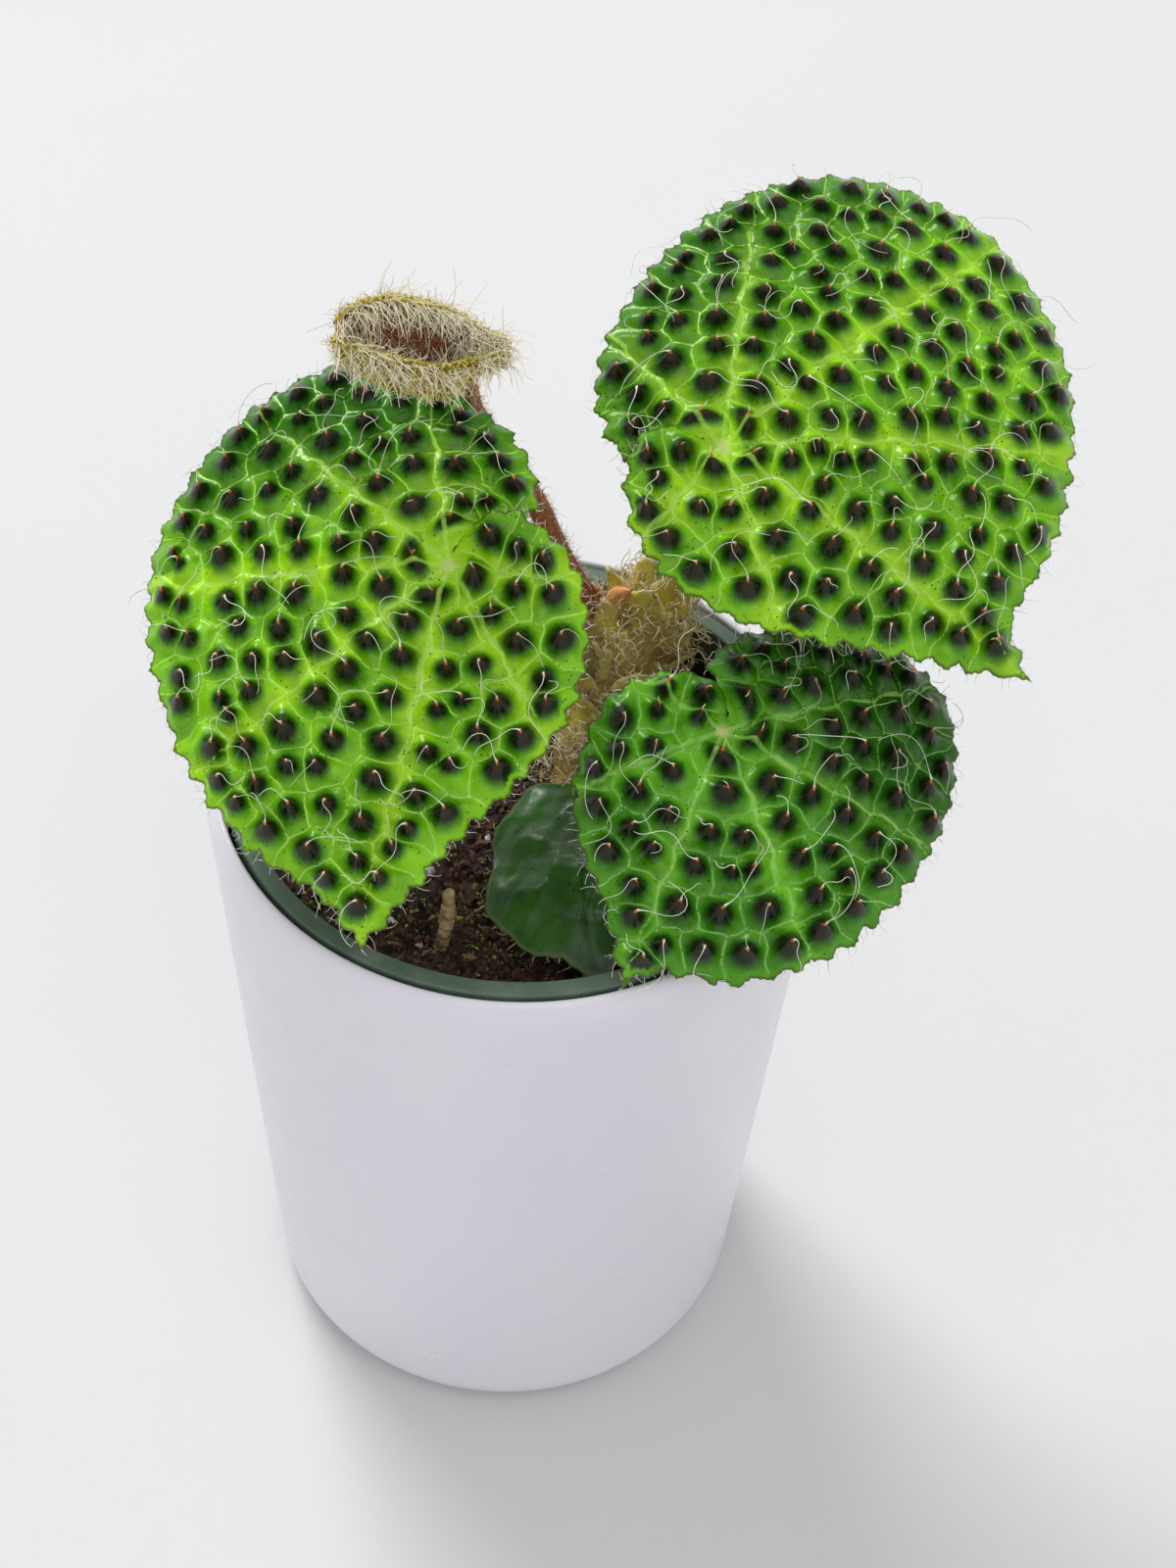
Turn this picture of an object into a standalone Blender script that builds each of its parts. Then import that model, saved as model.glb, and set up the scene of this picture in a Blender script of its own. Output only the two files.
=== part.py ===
"""Potted begonia with bullate leaves, standing in a glazed cover pot.

All sizes below are in millimetres and are turned into metres by MM when a mesh is made.
The origin is the centre of the cover pot's flat underside, +Z is up and -Y faces the viewer.
"""
import math
import random

import bmesh
import bpy
import numpy as np
from mathutils import Matrix, Vector
from mathutils.geometry import delaunay_2d_cdt

MM = 0.001
GAP = 0.3                      # air left between pieces that touch
OBJECT_NAME = "potted_begonia"

# Cover pot
COVER_HEIGHT = 146.0
COVER_RIM_RADIUS = 57.25
COVER_BASE_RADIUS = 48.0
COVER_BASE_ROUND = 9.0
COVER_WALL = 2.9
COVER_FLOOR = 4.0
COVER_STEPS = 48

# Nursery pot that stands in it
NURSERY_RIM_RADIUS = 53.5
NURSERY_RIM_TOP = COVER_HEIGHT  # the two rims stand level
NURSERY_LIP_WIDTH = 3.4
NURSERY_LIP_DEPTH = 6.5
NURSERY_LIP_TAPER = 0.5
NURSERY_LIP_CHAMFER = 0.6
NURSERY_BASE_RADIUS = 37.5
NURSERY_WALL = 1.3
NURSERY_STEPS = 44

# Soil
SOIL_LEVEL = 130.0
SOIL_LUMP = 1.1
SOIL_STEPS = 36
SOIL_RINGS = 9

# Blades
BLADE_THICKNESS = 0.9
CONE_SPACING = 9.6
CONE_HEIGHT = 3.7
CONE_RING = 6
CONE_RING_REACH = 0.36
CONE_POWER = 1.35
TOOTH_STEP = 2.3
TOOTH_REACH = 0.75
WIND_INNER = 2.0
WIND_OUTER = 9.0
NARROWING = 0.12


def unit(values):
    vector = np.array(values, float)
    return vector / np.linalg.norm(vector)


def smooth_step(values, low, high):
    share = np.clip((np.asarray(values, float) - low) / (high - low), 0.0, 1.0)
    return share * share * (3.0 - 2.0 * share)


def smooth_curve(points, count):
    """Points spaced evenly in number along a smooth curve through the given ones."""
    given = np.array(points, float)
    padded = np.vstack([2 * given[0] - given[1], given, 2 * given[-1] - given[-2]])
    result = []
    for value in np.linspace(0.0, len(given) - 1.0, count):
        start = min(int(value), len(given) - 2)
        share = value - start
        a, b, c, d = padded[start:start + 4]
        result.append(0.5 * (2 * b + (c - a) * share + (2 * a - 5 * b + 4 * c - d) * share ** 2
                             + (3 * b - a - 3 * c + d) * share ** 3))
    return np.array(result)


def make_material(name, colour, roughness, metallic=0.0):
    material = bpy.data.materials.new(name)
    material.use_nodes = True
    shader = material.node_tree.nodes["Principled BSDF"]
    shader.inputs["Base Color"].default_value = (*colour, 1.0)
    shader.inputs["Roughness"].default_value = roughness
    shader.inputs["Metallic"].default_value = metallic
    return material


def add_object(name, mesh, collection, material=None):
    piece = bpy.data.objects.new(name, mesh)
    collection.objects.link(piece)
    if material is not None:
        mesh.materials.clear()
        mesh.materials.append(material)
    return piece


def hide_helper(piece):
    piece.hide_render = True
    piece.display_type = "WIRE"


def mesh_from_faces(name, points, faces):
    mesh = bpy.data.meshes.new(name)
    mesh.from_pydata([tuple(MM * value for value in point) for point in points], [], faces)
    mesh.validate()
    return mesh


def turned_piece(name, profile, steps, collection, material):
    """A turned shape: the profile runs out along the inside, over the rim and down the outside."""
    count = len(profile)
    edges = [(index, index + 1) for index in range(count - 1)]
    mesh = bpy.data.meshes.new(name)
    mesh.from_pydata([(MM * radius, 0.0, MM * height) for radius, height in profile], edges, [])
    piece = add_object(name, mesh, collection, material)
    screw = piece.modifiers.new("turn", "SCREW")
    screw.angle = 2 * math.pi
    screw.steps = steps
    screw.render_steps = steps
    screw.use_merge_vertices = True
    screw.merge_threshold = 0.00005
    return piece


def apply_modifiers(piece):
    """Replace the object's mesh by its evaluated one, with loose caps and doubles welded."""
    graph = bpy.context.evaluated_depsgraph_get()
    graph.update()
    mesh = bpy.data.meshes.new_from_object(piece.evaluated_get(graph))
    piece.modifiers.clear()
    piece.data = mesh
    return piece


def tube(name, path, radii, collection, material, sides_step=2):
    """A stem: a curve with a round section, made a closed mesh."""
    curve = bpy.data.curves.new(name, "CURVE")
    curve.dimensions = "3D"
    curve.bevel_depth = MM
    curve.bevel_resolution = sides_step
    curve.use_fill_caps = True
    spline = curve.splines.new("POLY")
    spline.points.add(len(path) - 1)
    for point, place, radius in zip(spline.points, path, radii):
        point.co = (MM * place[0], MM * place[1], MM * place[2], 1.0)
        point.radius = radius
    holder = bpy.data.objects.new(name + "_curve", curve)
    collection.objects.link(holder)
    graph = bpy.context.evaluated_depsgraph_get()
    graph.update()
    mesh = bpy.data.meshes.new_from_object(holder.evaluated_get(graph))
    matrix = holder.matrix_world.copy()
    bpy.data.objects.remove(holder)
    weld(mesh)
    mesh.name = name
    piece = add_object(name, mesh, collection, material)
    piece.matrix_world = matrix
    mesh.shade_smooth()
    return piece


def weld(mesh):
    cage = bmesh.new()
    cage.from_mesh(mesh)
    bmesh.ops.remove_doubles(cage, verts=cage.verts, dist=0.00001)
    bmesh.ops.recalc_face_normals(cage, faces=cage.faces)
    cage.to_mesh(mesh)
    cage.free()


def cut(piece, cutter):
    """Take the cutter's shape out of the piece, at once."""
    modifier = piece.modifiers.new("cut", "BOOLEAN")
    modifier.operation = "DIFFERENCE"
    modifier.object = cutter
    apply_modifiers(piece)


def join(piece, collection):
    """Fuse everything in the collection with the piece and remove the loose copies."""
    modifier = piece.modifiers.new("join", "BOOLEAN")
    modifier.operation = "UNION"
    modifier.operand_type = "COLLECTION"
    modifier.collection = collection
    modifier.solver = "MANIFOLD"
    apply_modifiers(piece)
    for member in list(collection.objects):
        bpy.data.objects.remove(member)
    bpy.data.collections.remove(collection)


# Pots

def cover_wall_radius(height):
    share = height / COVER_HEIGHT
    return COVER_BASE_RADIUS + (COVER_RIM_RADIUS - COVER_BASE_RADIUS) * share


def cover_profile():
    """Inner floor, inner wall, rounded lip, outer wall, rounded foot and flat underside."""
    inner_round = COVER_BASE_ROUND - COVER_WALL
    profile = [(0.0, COVER_FLOOR)]
    for step in range(4):
        angle = math.radians(90.0 - 30.0 * step)
        centre = cover_wall_radius(COVER_FLOOR + inner_round) - COVER_WALL - inner_round
        profile.append((centre + inner_round * math.cos(angle),
                        COVER_FLOOR + inner_round * (1.0 - math.sin(angle))))
    lip = COVER_WALL / 2.0
    lip_height = COVER_HEIGHT - lip
    lip_centre = cover_wall_radius(lip_height) - lip
    for step in range(6):
        angle = math.radians(180.0 - 36.0 * step)
        profile.append((lip_centre + lip * math.cos(angle), lip_height + lip * math.sin(angle)))
    centre = cover_wall_radius(COVER_BASE_ROUND) - COVER_BASE_ROUND
    for step in range(6):
        angle = math.radians(-18.0 * step)
        profile.append((centre + COVER_BASE_ROUND * math.cos(angle),
                        COVER_BASE_ROUND * (1.0 + math.sin(angle))))
    profile.append((0.0, 0.0))
    return profile


def nursery_inner_radius(height):
    """Inner radius of the nursery pot's tapered wall at a height."""
    bottom = COVER_FLOOR + GAP
    share = (height - bottom) / (NURSERY_RIM_TOP - bottom)
    top_radius = NURSERY_RIM_RADIUS - NURSERY_LIP_WIDTH
    return NURSERY_BASE_RADIUS - NURSERY_WALL + (top_radius - NURSERY_BASE_RADIUS + NURSERY_WALL) * share


def nursery_profile():
    bottom = COVER_FLOOR + GAP
    lip_low = NURSERY_RIM_TOP - NURSERY_LIP_DEPTH
    outer = nursery_inner_radius(lip_low) + NURSERY_WALL
    return [
        (0.0, bottom + NURSERY_WALL),
        (nursery_inner_radius(bottom + NURSERY_WALL), bottom + NURSERY_WALL),
        (NURSERY_RIM_RADIUS - NURSERY_LIP_WIDTH, NURSERY_RIM_TOP),
        (NURSERY_RIM_RADIUS - NURSERY_LIP_CHAMFER, NURSERY_RIM_TOP),
        (NURSERY_RIM_RADIUS, NURSERY_RIM_TOP - NURSERY_LIP_CHAMFER),
        (NURSERY_RIM_RADIUS - NURSERY_LIP_TAPER, lip_low),
        (outer, lip_low),
        (NURSERY_BASE_RADIUS, bottom),
        (0.0, bottom),
    ]


# Soil

def soil_height(x, y):
    """Lumpy surface: a few waves of unlike length laid over each other."""
    lump = (math.sin(0.31 * x + 1.1) * math.sin(0.27 * y + 0.4)
            + 0.6 * math.sin(0.63 * x - 0.21 * y + 2.0)
            + 0.5 * math.sin(0.52 * y + 0.35 * x + 0.7))
    return SOIL_LEVEL + SOIL_LUMP * lump


def make_soil(collection, material):
    """The filling of the nursery pot, as rings from the underside up and in over the top."""
    bottom = COVER_FLOOR + 2 * GAP + NURSERY_WALL
    edge_height = SOIL_LEVEL - 3.0
    low_radius = nursery_inner_radius(bottom) - GAP - 0.2
    edge_radius = nursery_inner_radius(edge_height) - GAP - 0.1
    rings = [(low_radius, None), (edge_radius, None)]
    for index in range(SOIL_RINGS):
        share = 1.0 - (index + 1) / (SOIL_RINGS + 1.0)
        rings.append((edge_radius * share, True))
    points = []
    for number, (radius, on_top) in enumerate(rings):
        for step in range(SOIL_STEPS):
            angle = 2 * math.pi * (step + 0.5 * (number % 2)) / SOIL_STEPS
            if number < 2:
                angle = 2 * math.pi * step / SOIL_STEPS
            x = radius * math.cos(angle)
            y = radius * math.sin(angle)
            height = soil_height(x, y) if on_top else (bottom, edge_height)[number]
            points.append((x, y, height))
    faces = []
    for number in range(len(rings) - 1):
        for step in range(SOIL_STEPS):
            after = (step + 1) % SOIL_STEPS
            a = number * SOIL_STEPS + step
            b = number * SOIL_STEPS + after
            faces.append((a, b, b + SOIL_STEPS))
            faces.append((a, b + SOIL_STEPS, a + SOIL_STEPS))
    points.append((0.0, 0.0, bottom))
    low_centre = len(points) - 1
    points.append((0.0, 0.0, soil_height(0.0, 0.0)))
    top_centre = len(points) - 1
    last = (len(rings) - 1) * SOIL_STEPS
    for step in range(SOIL_STEPS):
        after = (step + 1) % SOIL_STEPS
        faces.append((low_centre, after, step))
        faces.append((top_centre, last + step, last + after))
    mesh = mesh_from_faces("soil", points, faces)
    piece = add_object("soil", mesh, collection, material)
    weld(mesh)
    return piece


# Rhizome, buds and stems: paths are points chosen by hand along each stem

RHIZOME_PATH = [(9, 4, 121), (11, 10, 128), (14, 18, 135), (18, 26, 142), (23, 33, 150), (28, 38, 159)]
RHIZOME_RADII = [4.5, 5.5, 6.8, 8.2, 8.8, 6.2]
RHIZOME_POINTS = 13
STIPULE_COUNT = 64
STIPULE_REACH = 46.0           # from the pot's middle, below the rim


def rhizome_radius(share):
    """Radius along the rhizome, swollen a little at each old leaf scar."""
    base = np.interp(share, np.linspace(0.0, 1.0, len(RHIZOME_RADII)), RHIZOME_RADII)
    return base + 0.5 * math.cos(2 * math.pi * 6.0 * share)


def rhizome_tube(name, extra, collection, material):
    path = smooth_curve(RHIZOME_PATH, RHIZOME_POINTS)
    radii = [rhizome_radius(index / (RHIZOME_POINTS - 1.0)) + extra for index in range(RHIZOME_POINTS)]
    if extra:
        first = unit(path[0] - path[1])
        last = unit(path[-1] - path[-2])
        path = np.vstack([path[0] + first * extra, path[1:-1], path[-1] + last * extra])
    return tube(name, path, radii, collection, material, sides_step=4)


def make_stipule(name, root, direction, facing, length, width, collection):
    """A papery scale: a flattened four-sided spike with its root sunk in the rhizome."""
    cage = bmesh.new()
    bmesh.ops.create_cone(cage, cap_ends=True, segments=4, radius1=MM * width / 2, radius2=MM * 0.25,
                          depth=MM * length)
    bmesh.ops.translate(cage, verts=cage.verts, vec=(0.0, 0.0, MM * length / 2))
    bmesh.ops.scale(cage, verts=cage.verts, vec=(1.0, 0.36, 1.0))
    mesh = bpy.data.meshes.new(name)
    cage.to_mesh(mesh)
    cage.free()
    along = Vector(direction).normalized()
    side = along.cross(Vector(facing)).normalized()
    out = along.cross(side).normalized()
    turn = Matrix((side, out, along)).transposed().to_4x4()
    mesh.transform(Matrix.Translation(Vector(root) * MM) @ turn)
    return add_object(name, mesh, collection)


def near_any_stem(place, stems, clearance):
    """Whether a place lies closer to a stem than its radius and the clearance."""
    for path, radius in stems:
        fine = smooth_curve(path, 4 * len(path))
        if np.min(np.linalg.norm(fine - place, axis=1)) < radius + clearance:
            return True
    return False


def make_rhizome(collection, material, stems):
    piece = rhizome_tube("rhizome", 0.0, collection, material)
    scales = bpy.data.collections.new("stipules")
    bpy.context.scene.collection.children.link(scales)
    draw = random.Random(7)
    path = smooth_curve(RHIZOME_PATH, RHIZOME_POINTS)
    for number in range(STIPULE_COUNT):
        share = 0.26 + 0.72 * (number + draw.uniform(0.0, 0.8)) / STIPULE_COUNT
        place = np.array([np.interp(share, np.linspace(0, 1, RHIZOME_POINTS), path[:, axis])
                          for axis in range(3)])
        ahead = unit(path[-1] - path[0])
        across = unit(np.cross(ahead, (0.0, 0.0, 1.0)))
        up = np.cross(across, ahead)
        angle = 2.4 * number
        out = across * math.cos(angle) + up * math.sin(angle)
        root = place + out * (rhizome_radius(share) - 1.6)
        direction = unit(ahead * draw.uniform(0.7, 1.1) + out * draw.uniform(0.55, 0.9))
        length = draw.uniform(6.5, 9.5)
        width = draw.uniform(4.0, 6.0)
        tip = root + direction * length
        middle = root + direction * length * 0.55
        if min(root[2], tip[2]) < SOIL_LEVEL + 5.0:
            continue
        if math.hypot(tip[0], tip[1]) > STIPULE_REACH and tip[2] < NURSERY_RIM_TOP + 3.0:
            continue
        if near_any_stem(tip, stems, 1.6) or near_any_stem(middle, stems, 2.4):
            continue
        make_stipule(f"stipule_{number}", root, direction, out, length, width, scales)
    join(piece, scales)
    piece.data.set_sharp_from_angle(angle=math.radians(45))
    return piece


# Bud at the rhizome's growing end, and a dry twig that stands in the soil

BUD_PLACE = (17.2, 32.6, 157.2)
BUD_RADIUS = 2.3
BUD_LENGTH = 8.0
BUD_LEAN = (-0.35, -0.25, 0.9)
TWIG_PATH = [(-12.9, -31.6, 122.0), (-12.6, -30.6, 131.0), (-11.9, -28.6, 136.0), (-11.7, -27.4, 141.5)]
TWIG_RADIUS = 1.3


def make_bud(collection, material):
    """A pointed bud: a ball drawn out towards its tip."""
    cage = bmesh.new()
    bmesh.ops.create_uvsphere(cage, u_segments=12, v_segments=8, radius=1.0)
    for vertex in cage.verts:
        height = vertex.co.z
        slim = 1.0 - 0.35 * max(height, 0.0)
        vertex.co = Vector((vertex.co.x * slim * BUD_RADIUS, vertex.co.y * slim * BUD_RADIUS,
                            height * BUD_LENGTH / 2)) * MM
    mesh = bpy.data.meshes.new("bud")
    cage.to_mesh(mesh)
    cage.free()
    turn = Vector(BUD_LEAN).to_track_quat("Z", "Y").to_matrix().to_4x4()
    mesh.transform(Matrix.Translation(Vector(BUD_PLACE) * MM) @ turn)
    mesh.shade_smooth()
    return add_object("bud", mesh, collection, material)


def make_twig(name, extra, collection, material):
    path = np.array(TWIG_PATH, float)
    path[0, 2] -= extra
    radii = [TWIG_RADIUS * share + extra for share in (0.9, 1.0, 1.05, 0.8)]
    return tube(name, path, radii, collection, material)


# Leaves: each blade is laid out flat round its petiole point, in polar form

class LeafPlace:
    """Where a blade sits: the petiole point, the way to its tip, its face and its doming."""

    def __init__(self, centre, to_tip, face, side, dome_along, dome_across):
        self.centre = np.array(centre, float)
        self.face = unit(face)
        along = np.array(to_tip, float)
        self.along = unit(along - self.face * np.dot(along, self.face))
        self.across = side * np.cross(self.face, self.along)
        self.side = side
        self.dome_along = dome_along
        self.dome_across = dome_across

    def world(self, u, v, w):
        drop = u * u / (2 * self.dome_along) + v * v / (2 * self.dome_across)
        return (self.centre + np.outer(u, self.along) + np.outer(v, self.across)
                + np.outer(w - drop, self.face))


class BladeShape:
    """Outline and relief of a bullate blade.

    Angles are in degrees from the tip. The basal lobes lie over each other, so the sheet is laid
    out flat with its angles narrowed, and turned by the twist that centres the cleft behind.
    """

    def __init__(self, outline, veins, seed, twist, lift):
        self.outline = outline
        self.veins = veins
        self.seed = seed
        self.twist = twist
        self.lift = lift

    def to_flat(self, degrees, radius):
        share = smooth_step(radius, WIND_INNER, WIND_OUTER)
        angle = np.radians(degrees - self.twist * share) * (1.0 - NARROWING * share)
        return np.stack([radius * np.cos(angle), radius * np.sin(angle)], axis=-1)

    def to_polar(self, flat):
        radius = np.hypot(flat[:, 0], flat[:, 1])
        share = smooth_step(radius, WIND_INNER, WIND_OUTER)
        angle = np.arctan2(flat[:, 1], flat[:, 0]) / (1.0 - NARROWING * share)
        return np.degrees(angle) + self.twist * share, radius

    def margin(self):
        """The flat outline with its small teeth, as a closed run of points."""
        given = np.array(self.outline + self.outline[:1], float)
        flat = smooth_curve(self.to_flat(given[:, 0], given[:, 1]), 24 * len(given))[:-1]
        steps = np.linalg.norm(np.diff(flat, axis=0, append=flat[:1]), axis=1)
        length = np.concatenate([[0.0], np.cumsum(steps)])
        count = 2 * int(length[-1] / (2 * TOOTH_STEP))
        draw = np.random.default_rng(self.seed)
        stops = (np.arange(count) + draw.uniform(-0.22, 0.22, count)) * length[-1] / count
        stops = np.clip(stops, 0.0, length[-1])
        closed = np.vstack([flat, flat[:1]])
        points = np.stack([np.interp(stops, length, closed[:, axis]) for axis in range(2)], axis=1)
        ahead = np.roll(points, -1, axis=0) - np.roll(points, 1, axis=0)
        outward = np.stack([ahead[:, 1], -ahead[:, 0]], axis=1)
        outward /= np.linalg.norm(outward, axis=1)[:, None]
        reach = np.where(np.arange(count) % 2 == 0, 1.0, -0.35) * draw.uniform(0.6, 1.2, count)
        radius = np.hypot(points[:, 0], points[:, 1])
        fade = smooth_step(radius, 6.0, 16.0)
        return points + outward * (reach * fade * TOOTH_REACH)[:, None]


def inside(points, polygon):
    """Which points lie inside the polygon, by counting crossings."""
    x, y = points[:, 0:1], points[:, 1:2]
    x0, y0 = polygon[:, 0], polygon[:, 1]
    x1, y1 = np.roll(x0, -1), np.roll(y0, -1)
    spans = (y0 > y) != (y1 > y)
    height = np.where(y1 == y0, 1e-9, y1 - y0)
    crossing = x0 + (y - y0) * (x1 - x0) / height
    return np.sum(spans & (x < crossing), axis=1) % 2 == 1


def edge_distance(points, polygon):
    """Distance from each point to the polygon's nearest side."""
    start = polygon
    run = np.roll(polygon, -1, axis=0) - polygon
    offset = points[:, None, :] - start[None]
    share = np.clip((offset * run).sum(2) / np.maximum((run * run).sum(1), 1e-9), 0.0, 1.0)
    nearest = start[None] + run[None] * share[..., None]
    return np.linalg.norm(points[:, None, :] - nearest, axis=2).min(axis=1)


def cone_centres(shape, margin, spacing):
    """Cone centres: mirrored pairs beside each main vein, then an even filling between."""
    draw = np.random.default_rng(shape.seed + 1)
    fixed = []
    for degrees in shape.veins:
        for step in range(1, 12):
            radius = spacing * (0.75 + 0.98 * step)
            half = spacing * 0.5
            for sign in (-1.0, 1.0):
                angle = math.radians(degrees - shape.twist) * (1.0 - NARROWING)
                across = sign * half
                place = (radius * math.cos(angle) - across * math.sin(angle),
                         radius * math.sin(angle) + across * math.cos(angle))
                fixed.append(place)
    fixed = np.array(fixed)
    keep = inside(fixed, margin)
    fixed = fixed[keep]
    fixed = fixed[edge_distance(fixed, margin) > 0.36 * spacing]
    chosen = []
    for place in fixed:
        if all(math.hypot(*(place - other)) > 0.74 * spacing for other in chosen):
            chosen.append(place)
    held = len(chosen)
    low = margin.min(axis=0)
    high = margin.max(axis=0)
    cloud = draw.uniform(low, high, (9000, 2))
    cloud = cloud[inside(cloud, margin)]
    cloud = cloud[edge_distance(cloud, margin) > 0.12 * spacing]
    cloud = cloud[np.hypot(cloud[:, 0], cloud[:, 1]) > 0.55 * spacing]
    for place in cloud:
        if all(math.hypot(*(place - other)) > 0.74 * spacing for other in chosen):
            chosen.append(place)
    centres = np.array(chosen)
    for _ in range(6):
        owner = np.linalg.norm(cloud[:, None] - centres[None], axis=2).argmin(axis=1)
        for index in range(held, len(centres)):
            group = cloud[owner == index]
            if len(group):
                centres[index] = group.mean(axis=0)
    return centres


def cone_relief(points, centres, margin):
    """Height of the bullae: zero along the net of veins, rising to a point at each centre."""
    distance = np.sort(np.linalg.norm(points[:, None] - centres[None], axis=2), axis=1)
    share = (distance[:, 1] - distance[:, 0]) / (distance[:, 1] + distance[:, 0])
    size = np.clip((distance[:, 1] + distance[:, 0]) / CONE_SPACING, 0.6, 1.1)
    fade = smooth_step(edge_distance(points, margin), 0.0, 2.2)
    return CONE_HEIGHT * size * share ** CONE_POWER * fade


def valley_points(centres):
    """Where three cones meet: the centres of the circles through neighbouring cones."""
    flat = [Vector(place) for place in centres]
    _, _, triangles, _, _, _ = delaunay_2d_cdt(flat, [], [], 0, 1e-5)
    found = []
    for triangle in triangles:
        a, b, c = (centres[index] for index in triangle)
        double = 2 * (a[0] * (b[1] - c[1]) + b[0] * (c[1] - a[1]) + c[0] * (a[1] - b[1]))
        if abs(double) < 1e-6:
            continue
        aa, bb, cc = a @ a, b @ b, c @ c
        found.append(((aa * (b[1] - c[1]) + bb * (c[1] - a[1]) + cc * (a[1] - b[1])) / double,
                      (aa * (c[0] - b[0]) + bb * (a[0] - c[0]) + cc * (b[0] - a[0])) / double))
    return np.array(found)


def spaced(points, gap):
    """The points in their order, without those nearer than the gap to an earlier one."""
    kept = []
    for place in points:
        if all(math.hypot(place[0] - other[0], place[1] - other[1]) > gap for other in kept):
            kept.append(place)
    return np.array(kept)


def make_bullate_blade(name, shape, place, collection, material):
    """A thin sheet whose facets rise to one point in each cell of the vein net."""
    margin = shape.margin()
    centres = cone_centres(shape, margin, CONE_SPACING)
    draw = np.random.default_rng(shape.seed + 2)
    separation = np.linalg.norm(centres[:, None] - centres[None], axis=2)
    np.fill_diagonal(separation, 99.0)
    reach = separation.min(axis=1) * CONE_RING_REACH
    turns = draw.uniform(0.0, 2 * math.pi, len(centres))
    rings = []
    for step in range(CONE_RING):
        angle = turns + 2 * math.pi * step / CONE_RING
        rings.append(centres + np.stack([np.cos(angle), np.sin(angle)], axis=1) * reach[:, None])
    loose = np.vstack([valley_points(centres)] + rings)
    loose = loose[inside(loose, margin)]
    loose = loose[edge_distance(loose, margin) > 1.1]
    inner = spaced(np.vstack([centres, loose]), 1.15)
    points = np.vstack([margin, [(0.0, 0.0)], inner[np.hypot(inner[:, 0], inner[:, 1]) > 2.5]])
    loop = list(range(len(margin)))
    flat, _, triangles, _, _, _ = delaunay_2d_cdt([Vector(p) for p in points], [], [loop], 1, 1e-5)
    flat = np.array([tuple(p) for p in flat])
    angle, radius = shape.to_polar(flat)
    height = cone_relief(flat, centres, margin) * smooth_step(radius, 3.0, 8.0)
    height += shape.lift(angle, radius)
    u = radius * np.cos(np.radians(angle))
    v = radius * np.sin(np.radians(angle))
    top = place.world(u, v, height)
    low = place.world(u, v, height - BLADE_THICKNESS)
    return sheet_solid(name, top, low, triangles, place.side < 0, collection, material)


def sheet_solid(name, top, low, triangles, turned, collection, material):
    """Close two copies of a triangulated sheet along their rim."""
    count = len(top)
    faces = []
    rim = {}
    for a, b, c in triangles:
        if turned:
            a, b = b, a
        faces.append((a, b, c))
        faces.append((b + count, a + count, c + count))
        for start, end in ((a, b), (b, c), (c, a)):
            if (end, start) in rim:
                del rim[(end, start)]
            else:
                rim[(start, end)] = True
    for start, end in rim:
        faces.append((end, start, start + count))
        faces.append((end, start + count, end + count))
    mesh = mesh_from_faces(name, np.vstack([top, low]), faces)
    return add_object(name, mesh, collection, material)


def ripple(amount, waves, phase, reach):
    """A slow wave along the margin that fades towards the petiole."""
    def lift(degrees, radius):
        return amount * np.sin(np.radians(degrees) * waves + phase) * (radius / reach) ** 2
    return lift


def lobe_lift(over_start, over_end, under_start, under_end, wave):
    """Raise one basal lobe and lower the other, where they lie over each other."""
    def lift(degrees, radius):
        away = smooth_step(radius, 3.0, 13.0)
        sign = 1.0 if over_end > over_start else -1.0
        over = smooth_step(sign * degrees, sign * over_start, sign * over_end)
        sign = 1.0 if under_end > under_start else -1.0
        under = smooth_step(sign * degrees, sign * under_start, sign * under_end)
        return wave(degrees, radius) + away * (LOBE_RAISE * over - LOBE_DROP * under)
    return lift


LOBE_RAISE = 3.6
LOBE_DROP = 2.0

# Left blade: the broad half is on the viewer's left, the right basal lobe lies on top
LEFT_OUTLINE = [
    (0, 65), (8, 59), (22, 57.5), (43, 54.5), (68, 52.5), (90, 51), (116, 48), (140, 45), (157, 38),
    (178, 31), (200, 24.5), (218, 18), (212, 10), (186, 5.5), (172, 3.2), (180, 2.4), (-172, 3.2),
    (-170, 7), (-152, 11.8), (-128, 16.2), (-98, 21.8), (-70, 27.5), (-50, 32.5), (-31, 38.5),
    (-15, 46), (-5, 57)]
LEFT_VEINS = (0, 38, 76, 118, 160, -42, -95)
LEFT_PLACE = LeafPlace((-13.0, 1.3, 194.0), (-0.2, -0.896, -0.396), (-0.03, -0.40, 0.917), -1, 150.0, 150.0)

# Right blade: the broad half points up and back, the lower basal lobe lies on top
RIGHT_OUTLINE = [
    (0, 64), (6, 56.5), (22, 58.5), (40, 62), (58, 67), (80, 70.5), (100, 66), (118, 56), (138, 42),
    (158, 32.5), (176, 27.5), (197, 21.5), (216, 16), (210, 10), (186, 5.5), (172, 3.2), (180, 2.4),
    (-172, 3.2), (-172, 8.5), (-150, 13.5), (-125, 17.5), (-96, 21.5), (-70, 25.5), (-46, 31), (-28, 37),
    (-13, 47), (-5, 56)]
RIGHT_VEINS = (0, 40, 78, 118, 165, -38, -95)
RIGHT_PLACE = LeafPlace((33.1, 20.1, 206.0), (0.827, -0.529, -0.19), (-0.06, -0.418, 0.906), 1, 120.0, 120.0)

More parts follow.
